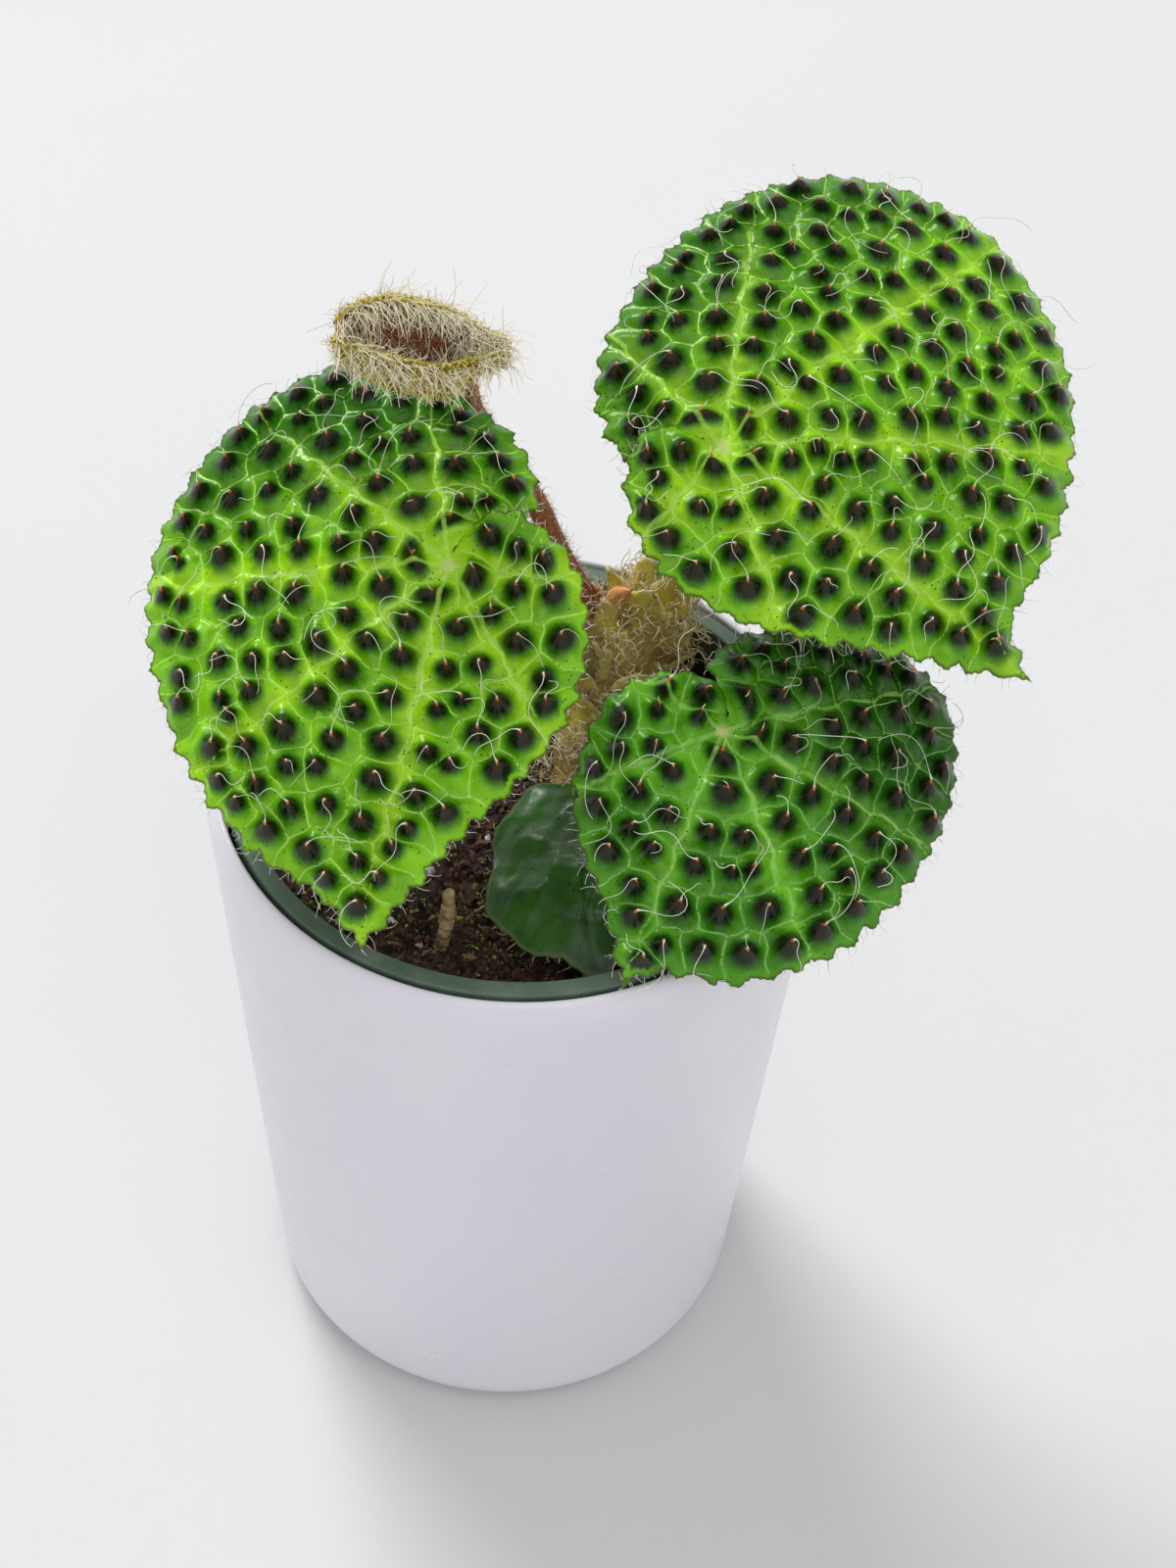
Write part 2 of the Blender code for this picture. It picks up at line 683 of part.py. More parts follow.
# Low blade: it hangs over the front rim, partly under the right blade
LOW_OUTLINE = [
    (0, 46.5), (8, 42.5), (25, 43), (50, 42), (75, 41), (100, 42), (122, 42.5), (138, 38.5), (154, 30.5),
    (170, 25), (188, 19.5), (204, 14), (202, 9), (184, 5.5), (172, 3.2), (180, 2.4), (-172, 3.2),
    (-168, 6), (-145, 9.5), (-113, 13.5), (-84, 20), (-55, 25.3), (-30, 31.5), (-12, 36.5)]
LOW_VEINS = (0, 42, 84, 128, -45, -100)
LOW_PLACE = LeafPlace((34.8, -14.6, 172.0), (-0.331, -0.891, -0.309), (0.10, -0.36, 0.93), 1, 170.0, 170.0)

# Each blade: outline, veins, place, seed, twist, lobe angles and the wave of its margin
LEAVES = {
    "leaf_left": (LEFT_OUTLINE, LEFT_VEINS, LEFT_PLACE, 11, 33.0, (-75, -150, 130, 195),
                  (1.2, 3.0, 0.6, 55.0)),
    "leaf_right": (RIGHT_OUTLINE, RIGHT_VEINS, RIGHT_PLACE, 23, 32.0, (-75, -150, 130, 195),
                   (1.3, 3.0, 2.1, 62.0)),
    "leaf_low": (LOW_OUTLINE, LOW_VEINS, LOW_PLACE, 37, 28.0, (-60, -135, 130, 185), (1.0, 3.0, 4.0, 45.0)),
}

# Smooth young blade near the soil
SMOOTH_CENTRE = (11.5, -20.5, 146.5)
SMOOTH_FACE = (-0.13, 0.0, 0.99)
SMOOTH_LONG = 22.5
SMOOTH_WIDE = 17.5
SMOOTH_THICKNESS = 0.8
SMOOTH_RINGS = 7
SMOOTH_STEPS = 28

# Folded young blade, boat-shaped, held above the left blade
FOLDED_CENTRE = (-18.6, 22.0, 225.0)
FOLDED_ALONG = (0.99, -0.13, 0.0)
FOLDED_OPEN = (0.0, -0.05, 1.0)
FOLDED_LENGTH = 31.0
FOLDED_HALF_WIDTH = 6.6
FOLDED_DEPTH = 8.0
FOLDED_STATIONS = 15
FOLDED_ACROSS = 10
FOLDED_REACH = 0.97              # how far along its length the sheet goes, of the half length
FOLDED_SWEEP = math.radians(104.0)
FOLDED_WALL = 0.9


STEM_POINTS = 13
STEM_STRAIGHT = (6.0, 3.5)

# The red stem rises behind the left blade and meets the folded blade's keel from behind
FOLDED_STEM = [(20, 32, 147), (12, 35, 154), (6.5, 35, 165), (3, 34.5, 178), (-2, 35.5, 190), (-8, 38, 200)]
FOLDED_KEEL = (0.22, 0.25)
FOLDED_APPROACH = (3.0, 8.0, -7.0)


def stem_to_blade(points, centre, face, thickness):
    """A stem that meets the blade square on, just short of its underside."""
    under = [centre - face * back for back in (*STEM_STRAIGHT, thickness + GAP)]
    return smooth_curve([*points, *under], STEM_POINTS)


def stem_to_leaf(points, place):
    return stem_to_blade(points, place.centre, place.face, BLADE_THICKNESS)


def make_smooth_blade(collection, material):
    """A rounded young blade: a disc of rings with a wavy margin, domed and creased on its midrib."""
    face = unit(SMOOTH_FACE)
    along = unit(np.cross((1.0, 0.0, 0.0), face))
    if along[1] > 0:
        along = -along
    across = np.cross(face, along)
    points = []
    for ring in range(1, SMOOTH_RINGS + 1):
        share = ring / SMOOTH_RINGS
        for step in range(SMOOTH_STEPS):
            angle = 2 * math.pi * step / SMOOTH_STEPS
            wave = 1.0 + 0.05 * math.sin(5 * angle + 0.6) * share + 0.03 * math.sin(9 * angle) * share
            u = SMOOTH_LONG * share * wave * math.cos(angle)
            v = SMOOTH_WIDE * share * wave * math.sin(angle)
            points.append((u, v, smooth_blade_height(u, v)))
    points.append((0.0, 0.0, smooth_blade_height(0.0, 0.0)))
    triangles = []
    for ring in range(SMOOTH_RINGS - 1):
        for step in range(SMOOTH_STEPS):
            a = ring * SMOOTH_STEPS + step
            b = ring * SMOOTH_STEPS + (step + 1) % SMOOTH_STEPS
            triangles.append((a, a + SMOOTH_STEPS, b + SMOOTH_STEPS))
            triangles.append((a, b + SMOOTH_STEPS, b))
    for step in range(SMOOTH_STEPS):
        triangles.append((len(points) - 1, step, (step + 1) % SMOOTH_STEPS))
    local = np.array(points)
    centre = np.array(SMOOTH_CENTRE)
    top = centre + np.outer(local[:, 0], along) + np.outer(local[:, 1], across) + np.outer(local[:, 2], face)
    low = top - face * SMOOTH_THICKNESS
    return sheet_solid("leaf_smooth", top, low, triangles, False, collection, material)


def smooth_blade_height(u, v):
    dome = -(u * u + 1.3 * v * v) / 95.0
    folds = 0.9 * math.sin(0.42 * u + 0.8) * math.cos(0.30 * v)
    return dome + folds * float(smooth_step(math.hypot(u, v), 2.0, 8.0))


def folded_frame():
    along = unit(FOLDED_ALONG)
    opening = np.array(FOLDED_OPEN)
    opening = unit(opening - along * np.dot(opening, along))
    return along, opening, np.cross(opening, along)


def folded_point(along_share, across_share):
    """A point of the boat: across_share runs from one edge (-1) through the keel to the other (1)."""
    along, opening, across = folded_frame()
    body = (1.0 - abs(along_share) ** 2.4) ** 0.62
    angle = across_share * FOLDED_SWEEP
    half = FOLDED_HALF_WIDTH * body + 0.5
    depth = FOLDED_DEPTH * body + 0.5
    bump = 0.35 * math.sin(9.0 * along_share + 1.0) * math.sin(7.0 * across_share)
    centre = np.array(FOLDED_CENTRE) + along * along_share * FOLDED_LENGTH / 2
    return (centre + across * (half + bump) * math.sin(angle)
            - opening * (depth + bump) * (math.cos(angle) + 0.1))


def folded_hull(extra):
    """The young blade's outer shape as one solid, swollen by a little."""
    cage = bmesh.new()
    centre = np.array(FOLDED_CENTRE)
    for station in range(FOLDED_STATIONS):
        along_share = FOLDED_REACH * (2.0 * station / (FOLDED_STATIONS - 1) - 1.0)
        for step in range(FOLDED_ACROSS + 1):
            place = folded_point(along_share, -1.0 + 2.0 * step / FOLDED_ACROSS)
            cage.verts.new(Vector(place + unit(place - centre) * extra) * MM)
    bmesh.ops.convex_hull(cage, input=cage.verts)
    loose = [vertex for vertex in cage.verts if not vertex.link_faces]
    bmesh.ops.delete(cage, geom=loose, context="VERTS")
    bmesh.ops.recalc_face_normals(cage, faces=cage.faces)
    mesh = bpy.data.meshes.new("folded_hull")
    cage.to_mesh(mesh)
    cage.free()
    return mesh


def make_folded_blade(collection, material):
    """The young blade as an open sheet, given its thickness towards the inside."""
    points = []
    for station in range(FOLDED_STATIONS):
        along_share = FOLDED_REACH * (2.0 * station / (FOLDED_STATIONS - 1) - 1.0)
        for step in range(FOLDED_ACROSS + 1):
            points.append(folded_point(along_share, -1.0 + 2.0 * step / FOLDED_ACROSS))
    width = FOLDED_ACROSS + 1
    faces = []
    for station in range(FOLDED_STATIONS - 1):
        for step in range(FOLDED_ACROSS):
            a = station * width + step
            faces.append((a, a + 1, a + width + 1, a + width))
    mesh = mesh_from_faces("leaf_folded", points, faces)
    piece = add_object("leaf_folded", mesh, collection, material)
    wall = piece.modifiers.new("wall", "SOLIDIFY")
    wall.thickness = FOLDED_WALL * MM
    wall.offset = -1.0
    mesh.shade_smooth()
    return piece


def main():
    for old in list(bpy.data.objects):
        bpy.data.objects.remove(old)
    parts = bpy.data.collections.new(OBJECT_NAME)
    cutters = bpy.data.collections.new("cutters")
    for collection in (parts, cutters):
        bpy.context.scene.collection.children.link(collection)

    glaze = make_material("white_glaze", (0.86, 0.85, 0.88), 0.28)
    plastic = make_material("green_plastic", (0.06, 0.10, 0.075), 0.5)
    peat = make_material("peat_soil", (0.045, 0.026, 0.016), 0.95)
    rhizome_skin = make_material("golden_rhizome", (0.36, 0.28, 0.09), 0.8)
    red_stem = make_material("hairy_red_stem", (0.20, 0.06, 0.03), 0.6)
    green_stem = make_material("green_stem", (0.22, 0.24, 0.07), 0.6)
    bright_leaf = make_material("bright_leaf", (0.13, 0.42, 0.02), 0.35)
    deep_leaf = make_material("deep_leaf", (0.06, 0.25, 0.02), 0.35)
    smooth_leaf = make_material("smooth_leaf", (0.03, 0.10, 0.02), 0.3)
    young_leaf = make_material("young_leaf", (0.36, 0.28, 0.06), 0.8)
    bud_skin = make_material("orange_bud", (0.62, 0.20, 0.05), 0.5)
    dry_wood = make_material("dry_twig", (0.30, 0.21, 0.11), 0.85)

    turned_piece("cover_pot", cover_profile(), COVER_STEPS, parts, glaze)
    turned_piece("nursery_pot", nursery_profile(), NURSERY_STEPS, parts, plastic)
    soil = make_soil(parts, peat)

    stems = {
        "stem_left": (stem_to_leaf([(16, 27, 141), (5, 20, 160), (-9, 9, 180)], LEFT_PLACE), 3.6, 2.2),
        "stem_right": (stem_to_leaf([(27, 38, 156), (31, 41, 172), (34.5, 34, 190)], RIGHT_PLACE), 5.6, 2.6),
        "stem_low": (stem_to_leaf([(20, 26, 141), (27, 17, 146), (32, 2, 154)], LOW_PLACE), 3.4, 2.2),
    }
    smooth_path = stem_to_blade([(12, 12, 131), (12.5, 4, 134.5), (13, -9, 137)],
                                np.array(SMOOTH_CENTRE), unit(SMOOTH_FACE), SMOOTH_THICKNESS)
    stems["stem_smooth"] = (smooth_path, 2.0, 1.5)
    keel = folded_point(*FOLDED_KEEL)
    below_keel = keel + np.array(FOLDED_APPROACH)
    end = keel + 0.2 * (keel - below_keel)
    folded_path = smooth_curve([*FOLDED_STEM, below_keel, end], STEM_POINTS + 2)
    stems["stem_folded"] = (folded_path, 2.7, 1.6)

    kept_clear = [(path, low) for path, low, _ in stems.values()]
    kept_clear.append((np.array([BUD_PLACE, BUD_PLACE]), BUD_LENGTH / 2))
    make_rhizome(parts, rhizome_skin, kept_clear)
    socket = rhizome_tube("rhizome_socket", GAP, cutters, None)
    hide_helper(socket)
    cut(make_bud(parts, bud_skin), socket)
    make_twig("twig", 0.0, parts, dry_wood)
    hull = add_object("folded_hull", folded_hull(GAP), cutters)
    hide_helper(hull)
    twig_socket = make_twig("twig_socket", GAP, cutters, None)
    hide_helper(twig_socket)
    for name, (path, low, high) in stems.items():
        count = len(path)
        radii = [low + (high - low) * (index / (count - 1.0)) ** 0.6 for index in range(count)]
        stem = tube(name, path, radii, parts, red_stem if name == "stem_folded" else green_stem)
        cut(stem, socket)
        if name == "stem_folded":
            cut(stem, hull)
    cut(soil, socket)
    cut(soil, twig_socket)

    for name, (outline, veins, place, seed, twist, lobes, wave) in LEAVES.items():
        shape = BladeShape(outline, veins, seed, twist, lobe_lift(*lobes, ripple(*wave)))
        skin = deep_leaf if name == "leaf_low" else bright_leaf
        make_bullate_blade(name, shape, place, parts, skin)
    make_smooth_blade(parts, smooth_leaf)
    make_folded_blade(parts, young_leaf)


main()
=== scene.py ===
# %% [markdown]
# # A potted begonia with cone-studded leaves
#
# This file dresses a finished CAD model, the frame, so that it looks like the real plant.
# The frame knows where every piece is and how large it is. Each cell below makes one piece or one
# finish, says why it is made that way, and prints what came out.

# %% Load the frame
import math

import bmesh
import bpy
import numpy as np
from mathutils import Matrix, Vector, noise
from mathutils.geometry import delaunay_2d_cdt
from mathutils.kdtree import KDTree


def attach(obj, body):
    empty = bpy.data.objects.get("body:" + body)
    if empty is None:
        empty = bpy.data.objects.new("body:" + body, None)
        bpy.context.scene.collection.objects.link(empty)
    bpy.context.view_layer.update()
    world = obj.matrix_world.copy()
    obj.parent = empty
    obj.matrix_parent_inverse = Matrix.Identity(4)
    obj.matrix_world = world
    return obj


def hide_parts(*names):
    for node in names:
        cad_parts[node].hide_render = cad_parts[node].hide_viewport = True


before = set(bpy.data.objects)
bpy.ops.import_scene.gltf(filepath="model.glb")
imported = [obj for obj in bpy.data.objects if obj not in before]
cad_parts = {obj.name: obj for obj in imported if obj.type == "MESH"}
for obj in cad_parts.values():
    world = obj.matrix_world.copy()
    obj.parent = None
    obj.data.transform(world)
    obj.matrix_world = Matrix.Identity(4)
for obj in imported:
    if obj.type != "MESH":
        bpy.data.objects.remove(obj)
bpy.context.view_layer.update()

MM = 0.001
BODY = "root"

# %% [markdown]
# ## Small helpers
#
# Shapes are worked out in millimetres with numpy, because a whole sheet of points is then one
# sum, and they become metres when the mesh is made. A smooth step is the most useful function of
# all here: it fades one thing into another without a visible start or end.

# %% Helpers for curves and meshes


def unit(values):
    vector = np.array(values, float)
    return vector / np.linalg.norm(vector)


def smooth_step(values, low, high):
    share = np.clip((np.asarray(values, float) - low) / (high - low), 0.0, 1.0)
    return share * share * (3.0 - 2.0 * share)


def smooth_curve(points, count):
    """Points along a smooth curve through the given ones, evenly many between each two."""
    given = np.array(points, float)
    padded = np.vstack([2 * given[0] - given[1], given, 2 * given[-1] - given[-2]])
    result = []
    for value in np.linspace(0.0, len(given) - 1.0, count):
        start = min(int(value), len(given) - 2)
        share = value - start
        a, b, c, d = padded[start:start + 4]
        result.append(0.5 * (2 * b + (c - a) * share + (2 * a - 5 * b + 4 * c - d) * share ** 2
                             + (3 * b - a - 3 * c + d) * share ** 3))
    return np.array(result)


def add_object(name, mesh, material=None):
    piece = bpy.data.objects.new(name, mesh)
    bpy.context.scene.collection.objects.link(piece)
    if material is not None:
        mesh.materials.clear()
        mesh.materials.append(material)
    return piece


def mesh_from(name, points, edges, faces, notes=None):
    """A mesh from points in millimetres; notes are numbers kept on each point for materials."""
    mesh = bpy.data.meshes.new(name)
    mesh.from_pydata((np.asarray(points) * MM).tolist(), edges, faces)
    for note, values in (notes or {}).items():
        layer = mesh.attributes.new(note, "FLOAT", "POINT")
        layer.data.foreach_set("value", np.asarray(values, np.float32))
    return mesh


def triangle_count(mesh):
    return sum(len(face.vertices) - 2 for face in mesh.polygons)


def face_outwards(mesh):
    """Turn every face of a closed mesh outwards."""
    cage = bmesh.new()
    cage.from_mesh(mesh)
    bmesh.ops.recalc_face_normals(cage, faces=cage.faces)
    cage.to_mesh(mesh)
    cage.free()


def settle(piece, nodes=()):
    """Hand a finished piece to the frame: it rides and replaces its nodes, and its triangles are counted.
    """
    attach(piece, BODY)
    if nodes:
        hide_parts(*nodes)
    print(piece.name, triangle_count(piece.data), "triangles")
    return piece


print("a half step fades to", float(smooth_step(0.5, 0.0, 1.0)))

# %% [markdown]
# ## A short way to write materials
#
# A material is a graph of nodes that ends in one shader. Written out in full, a graph is long and
# hard to read, so this recipe class adds one node a line and gives back the socket that the next
# line needs. Patterns read object coordinates, which are metres here: a noise of scale 1000 has
# lumps of about a millimetre.

# %% The recipe class


class Recipe:
    """A material under construction."""

    def __init__(self, name, **shader_values):
        self.material = bpy.data.materials.new(name)
        self.material.use_nodes = True
        self.tree = self.material.node_tree
        self.shader = self.tree.nodes["Principled BSDF"]
        for socket, value in shader_values.items():
            self.shader.inputs[socket.replace("_", " ")].default_value = value
        self.place = self.put("ShaderNodeTexCoord").outputs["Object"]

    def feed(self, socket, value):
        if isinstance(value, bpy.types.NodeSocket):
            self.tree.links.new(value, socket)
        elif isinstance(value, tuple) and len(value) == 3 and socket.type == "RGBA":
            socket.default_value = (*value, 1.0)
        else:
            socket.default_value = value

    def put(self, kind, feeds=None, **settings):
        node = self.tree.nodes.new(kind)
        for key, value in settings.items():
            setattr(node, key, value)
        for socket, value in (feeds or {}).items():
            self.feed(node.inputs[socket], value)
        return node

    def noise(self, scale, detail=2.0, rough=0.5, warp=0.0, vector=None):
        feeds = {"Vector": vector or self.place, "Scale": scale, "Detail": detail,
                 "Roughness": rough, "Distortion": warp}
        return self.put("ShaderNodeTexNoise", feeds).outputs["Fac"]

    def specks(self, scale, randomness=1.0):
        feeds = {"Vector": self.place, "Scale": scale, "Randomness": randomness}
        return self.put("ShaderNodeTexVoronoi", feeds)

    def note(self, name):
        return self.put("ShaderNodeAttribute", attribute_name=name).outputs["Fac"]

    def fade(self, value, low, high, start=0.0, end=1.0):
        feeds = {0: value, 1: low, 2: high, 3: start, 4: end}
        return self.put("ShaderNodeMapRange", feeds, interpolation_type="SMOOTHSTEP").outputs[0]

    def calc(self, operation, first, second=0.0):
        return self.put("ShaderNodeMath", {0: first, 1: second}, operation=operation).outputs[0]

    def mix(self, share, first, second, blend="MIX"):
        node = self.put("ShaderNodeMix", data_type="RGBA", blend_type=blend)
        self.feed(node.inputs[0], share)
        self.feed(node.inputs[6], first)
        self.feed(node.inputs[7], second)
        return node.outputs[2]

    def colour(self, value):
        self.feed(self.shader.inputs["Base Color"], value)

    def rough(self, pattern, low, high, edge=0.2):
        """Roughness from low to high as the pattern rises from the edge to as far below 1."""
        self.feed(self.shader.inputs["Roughness"], self.fade(pattern, edge, 1.0 - edge, low, high))

    def bump(self, height, distance, strength=1.0):
        feeds = {"Height": height, "Distance": distance * MM, "Strength": strength}
        node = self.put("ShaderNodeBump", feeds)
        self.feed(self.shader.inputs["Normal"], node.outputs["Normal"])


print("recipe steps", [step for step in vars(Recipe) if not step.startswith("_")])

# %% [markdown]
# ## The camera
#
# The photograph looks down on the plant at about 48 degrees. The camera's height, turn and roll
# were fitted to the two rims and the foot of the pot, so the render's outline falls on the
# photograph's.

# %% Camera
CAMERA_ELEVATION = math.radians(48.107)
CAMERA_DISTANCE = 0.538874
CAMERA_AIM_HEIGHT = 0.140947
CAMERA_AIM_RIGHT = 0.012736
CAMERA_ROLL = math.radians(1.86)
CAMERA_LENS = 67.5


def make_camera():
    back = np.array([0.0, -math.cos(CAMERA_ELEVATION), math.sin(CAMERA_ELEVATION)])
    place = np.array([0.0, 0.0, CAMERA_AIM_HEIGHT]) + back * CAMERA_DISTANCE
    yaw = math.atan2(CAMERA_AIM_RIGHT, CAMERA_DISTANCE)
    right = np.array([1.0, 0.0, 0.0])
    up = np.cross(right, -back)
    ahead = -back * math.cos(yaw) + right * math.sin(yaw)
    turned = right * math.cos(yaw) + back * math.sin(yaw)
    rolled_right = turned * math.cos(CAMERA_ROLL) + up * math.sin(CAMERA_ROLL)
    rolled_up = up * math.cos(CAMERA_ROLL) - turned * math.sin(CAMERA_ROLL)
    data = bpy.data.cameras.new("camera")
    data.sensor_width = 36.0
    data.sensor_fit = "AUTO"
    data.lens = CAMERA_LENS
    data.clip_start = 0.01
    camera = add_object("camera", data)
    matrix = Matrix.Identity(4)
    for row in range(3):
        for column, axis in enumerate((rolled_right, rolled_up, -ahead, place)):
            matrix[row][column] = axis[row]
    camera.matrix_world = matrix
    bpy.context.scene.camera = camera


make_camera()
print("camera at", [round(value, 3) for value in bpy.context.scene.camera.location])

# %% [markdown]
# ## Floor and light
#
# The plant stands on a plain pale floor in soft studio light. A very soft lamp stands in front on
# the right, a smaller one behind on the left gives the leaves their gloss, and a small near lamp
# puts bright spots on them. An even pale world fills the shadows. The two large lamps are suns,
# whose rays run side by side, so the floor is lit evenly. The standard view transform keeps the
# bright greens as bright as the photograph has them.

# %% Floor, lamps and world
FLOOR_SIZE = 4.0
FLOOR_GREY = ((0.645, 0.645, 0.65), (0.655, 0.655, 0.655))
WORLD_LIGHT = 0.66
KEY_TOWARDS = (0.25, -0.62, 0.74)
KEY_POWER = 0.60
KEY_SOFTNESS = math.radians(60.0)
GLOSS_TOWARDS = (-0.34, 0.60, 0.72)
GLOSS_POWER = 1.75
GLOSS_SOFTNESS = math.radians(26.0)
GLINT_PLACE = Vector((-0.25, 0.42, 0.70))
GLINT_AIM = Vector((0.0, 0.0, 0.19))
GLINT_SIZE = 0.10
GLINT_POWER = 0.75


def make_floor():
    look = Recipe("studio_floor", Roughness=0.9)
    wear = look.fade(look.noise(6.0, 3.0), 0.3, 0.7)
    look.colour(look.mix(wear, *FLOOR_GREY))
    look.rough(look.noise(300.0), 0.85, 0.95)
    look.bump(look.noise(900.0), 0.02)
    half = FLOOR_SIZE / 2.0 / MM
    corners = [(-half, -half, 0.0), (half, -half, 0.0), (half, half, 0.0), (-half, half, 0.0)]
    floor = add_object("floor", mesh_from("floor", corners, [], [(0, 1, 2, 3)]), look.material)


def make_lamp(name, kind, towards, power, place=(0.0, 0.0, 0.0), **settings):
    """A lamp that stands towards this direction; the settings are Blender's own."""
    data = bpy.data.lights.new(name, kind)
    data.energy = power
    for key, value in settings.items():
        setattr(data, key, value)
    lamp = add_object(name, data)
    lamp.location = place
    lamp.rotation_euler = (-Vector(towards)).to_track_quat("-Z", "Y").to_euler()


def make_world():
    world = bpy.data.worlds.new("studio")
    world.use_nodes = True
    backdrop = world.node_tree.nodes["Background"]
    backdrop.inputs["Color"].default_value = (1.0, 1.0, 1.02, 1.0)
    backdrop.inputs["Strength"].default_value = WORLD_LIGHT
    bpy.context.scene.world = world
    bpy.context.scene.view_settings.view_transform = "Standard"


make_floor()
make_lamp("key", "SUN", KEY_TOWARDS, KEY_POWER, angle=KEY_SOFTNESS, color=(1.0, 0.99, 0.97))
make_lamp("gloss", "SUN", GLOSS_TOWARDS, GLOSS_POWER, angle=GLOSS_SOFTNESS, color=(0.98, 1.0, 0.99))
make_lamp("glint", "AREA", GLINT_PLACE - GLINT_AIM, GLINT_POWER, GLINT_PLACE, size=GLINT_SIZE)
make_world()
print("lamps", [lamp.name for lamp in bpy.data.lights])

# %% [markdown]
# ## The two pots
#
# Both pots are turned shapes: a profile that is spun round the middle. The CAD model has them as
# faceted rings, and here the same sizes are spun in finer steps, with the lips' corners drawn as
# arcs, so that the glaze reflects smoothly. All sizes are millimetres.

# %% Sizes of the pots
COVER_HEIGHT = 146.0
COVER_RIM_RADIUS = 57.25
COVER_BASE_RADIUS = 48.0
COVER_BASE_ROUND = 9.0
COVER_WALL = 2.9
COVER_FLOOR = 4.0
LIP_INSIDE = 0.7
LIP_REACH = 2.0
LIP_FALL = 5.0
NURSERY_RIM_RADIUS = 53.5
NURSERY_RIM_TOP = COVER_HEIGHT
NURSERY_LIP_WIDTH = 3.4
NURSERY_LIP_DEPTH = 6.5
NURSERY_LIP_TAPER = 0.5
NURSERY_LIP_CORNER = 0.6
NURSERY_BASE_RADIUS = 37.5
NURSERY_WALL = 1.3
NURSERY_FLOOR = COVER_FLOOR + 0.3
POT_STEPS = 144
SHARP_CORNER = math.radians(50)
print("outer pot", COVER_HEIGHT, "high,", 2 * COVER_RIM_RADIUS, "across the rim")

# %% [markdown]
# ## Profiles of the pots
#
# A profile runs from the middle of the floor inside, up the wall, over the lip and down the outside
# to the middle underneath. The outer pot's lip falls off in a long soft shoulder, which is what
# catches the bright line along its rim. The inner pot has a flat lip with small round corners.

# %% Profiles


def cover_wall_radius(height):
    return COVER_BASE_RADIUS + (COVER_RIM_RADIUS - COVER_BASE_RADIUS) * height / COVER_HEIGHT


def arc(centre, radius, start, end, steps):
    """Points of a round stretch of a profile, as radius and height; angles in degrees."""
    angles = np.radians(np.linspace(start, end, steps))
    return [(centre[0] + radius * math.cos(a), centre[1] + radius * math.sin(a)) for a in angles]


def cover_profile():
    inner_round = COVER_BASE_ROUND - COVER_WALL
    inner_height = COVER_FLOOR + inner_round
    inner_centre = (cover_wall_radius(inner_height) - COVER_WALL - inner_round, inner_height)
    shoulder_start = cover_wall_radius(COVER_HEIGHT - LIP_FALL)
    shoulder_top = shoulder_start - LIP_REACH
    inner_edge = cover_wall_radius(COVER_HEIGHT) - COVER_WALL
    foot_centre = (cover_wall_radius(COVER_BASE_ROUND) - COVER_BASE_ROUND, COVER_BASE_ROUND)
    profile = [(0.0, COVER_FLOOR)]
    profile += arc(inner_centre, inner_round, -90.0, 0.0, 8)
    profile += arc((inner_edge + LIP_INSIDE, COVER_HEIGHT - LIP_INSIDE), LIP_INSIDE, 180.0, 90.0, 6)
    for angle in np.radians(np.linspace(84.0, 0.0, 14)):
        profile.append((shoulder_top + LIP_REACH * math.cos(angle),
                        COVER_HEIGHT - LIP_FALL * (1.0 - math.sin(angle))))
    for share in np.linspace(0.1, 0.9, 9):
        height = COVER_HEIGHT - LIP_FALL - (COVER_HEIGHT - LIP_FALL - COVER_BASE_ROUND) * share
        profile.append((cover_wall_radius(height), height))
    profile += arc(foot_centre, COVER_BASE_ROUND, 0.0, -90.0, 12)
    profile.append((0.0, 0.0))
    return profile


def nursery_inner_radius(height):
    share = (height - NURSERY_FLOOR) / (NURSERY_RIM_TOP - NURSERY_FLOOR)
    low = NURSERY_BASE_RADIUS - NURSERY_WALL
    return low + (NURSERY_RIM_RADIUS - NURSERY_LIP_WIDTH - low) * share


def nursery_profile():
    lip_low = NURSERY_RIM_TOP - NURSERY_LIP_DEPTH
    inner_edge = NURSERY_RIM_RADIUS - NURSERY_LIP_WIDTH
    corner = NURSERY_LIP_CORNER
    floor_top = NURSERY_FLOOR + NURSERY_WALL
    return [(0.0, floor_top), (nursery_inner_radius(floor_top), floor_top),
            *arc((inner_edge + corner, NURSERY_RIM_TOP - corner), corner, 180.0, 90.0, 5),
            *arc((NURSERY_RIM_RADIUS - corner, NURSERY_RIM_TOP - corner), corner, 90.0, 0.0, 6),
            (NURSERY_RIM_RADIUS - NURSERY_LIP_TAPER, lip_low),
            (nursery_inner_radius(lip_low) + NURSERY_WALL, lip_low),
            (NURSERY_BASE_RADIUS, NURSERY_FLOOR), (0.0, NURSERY_FLOOR)]


print("profile points", len(cover_profile()), "and", len(nursery_profile()))

# %% [markdown]
# ## Spinning a profile
#
# Blender has a Spin tool, but a ring of points for each step of the profile is as easy to write,
# and it leaves no doubled seam. The two ends lie on the axis and close to one point each.

# %% Spinning, and the pots


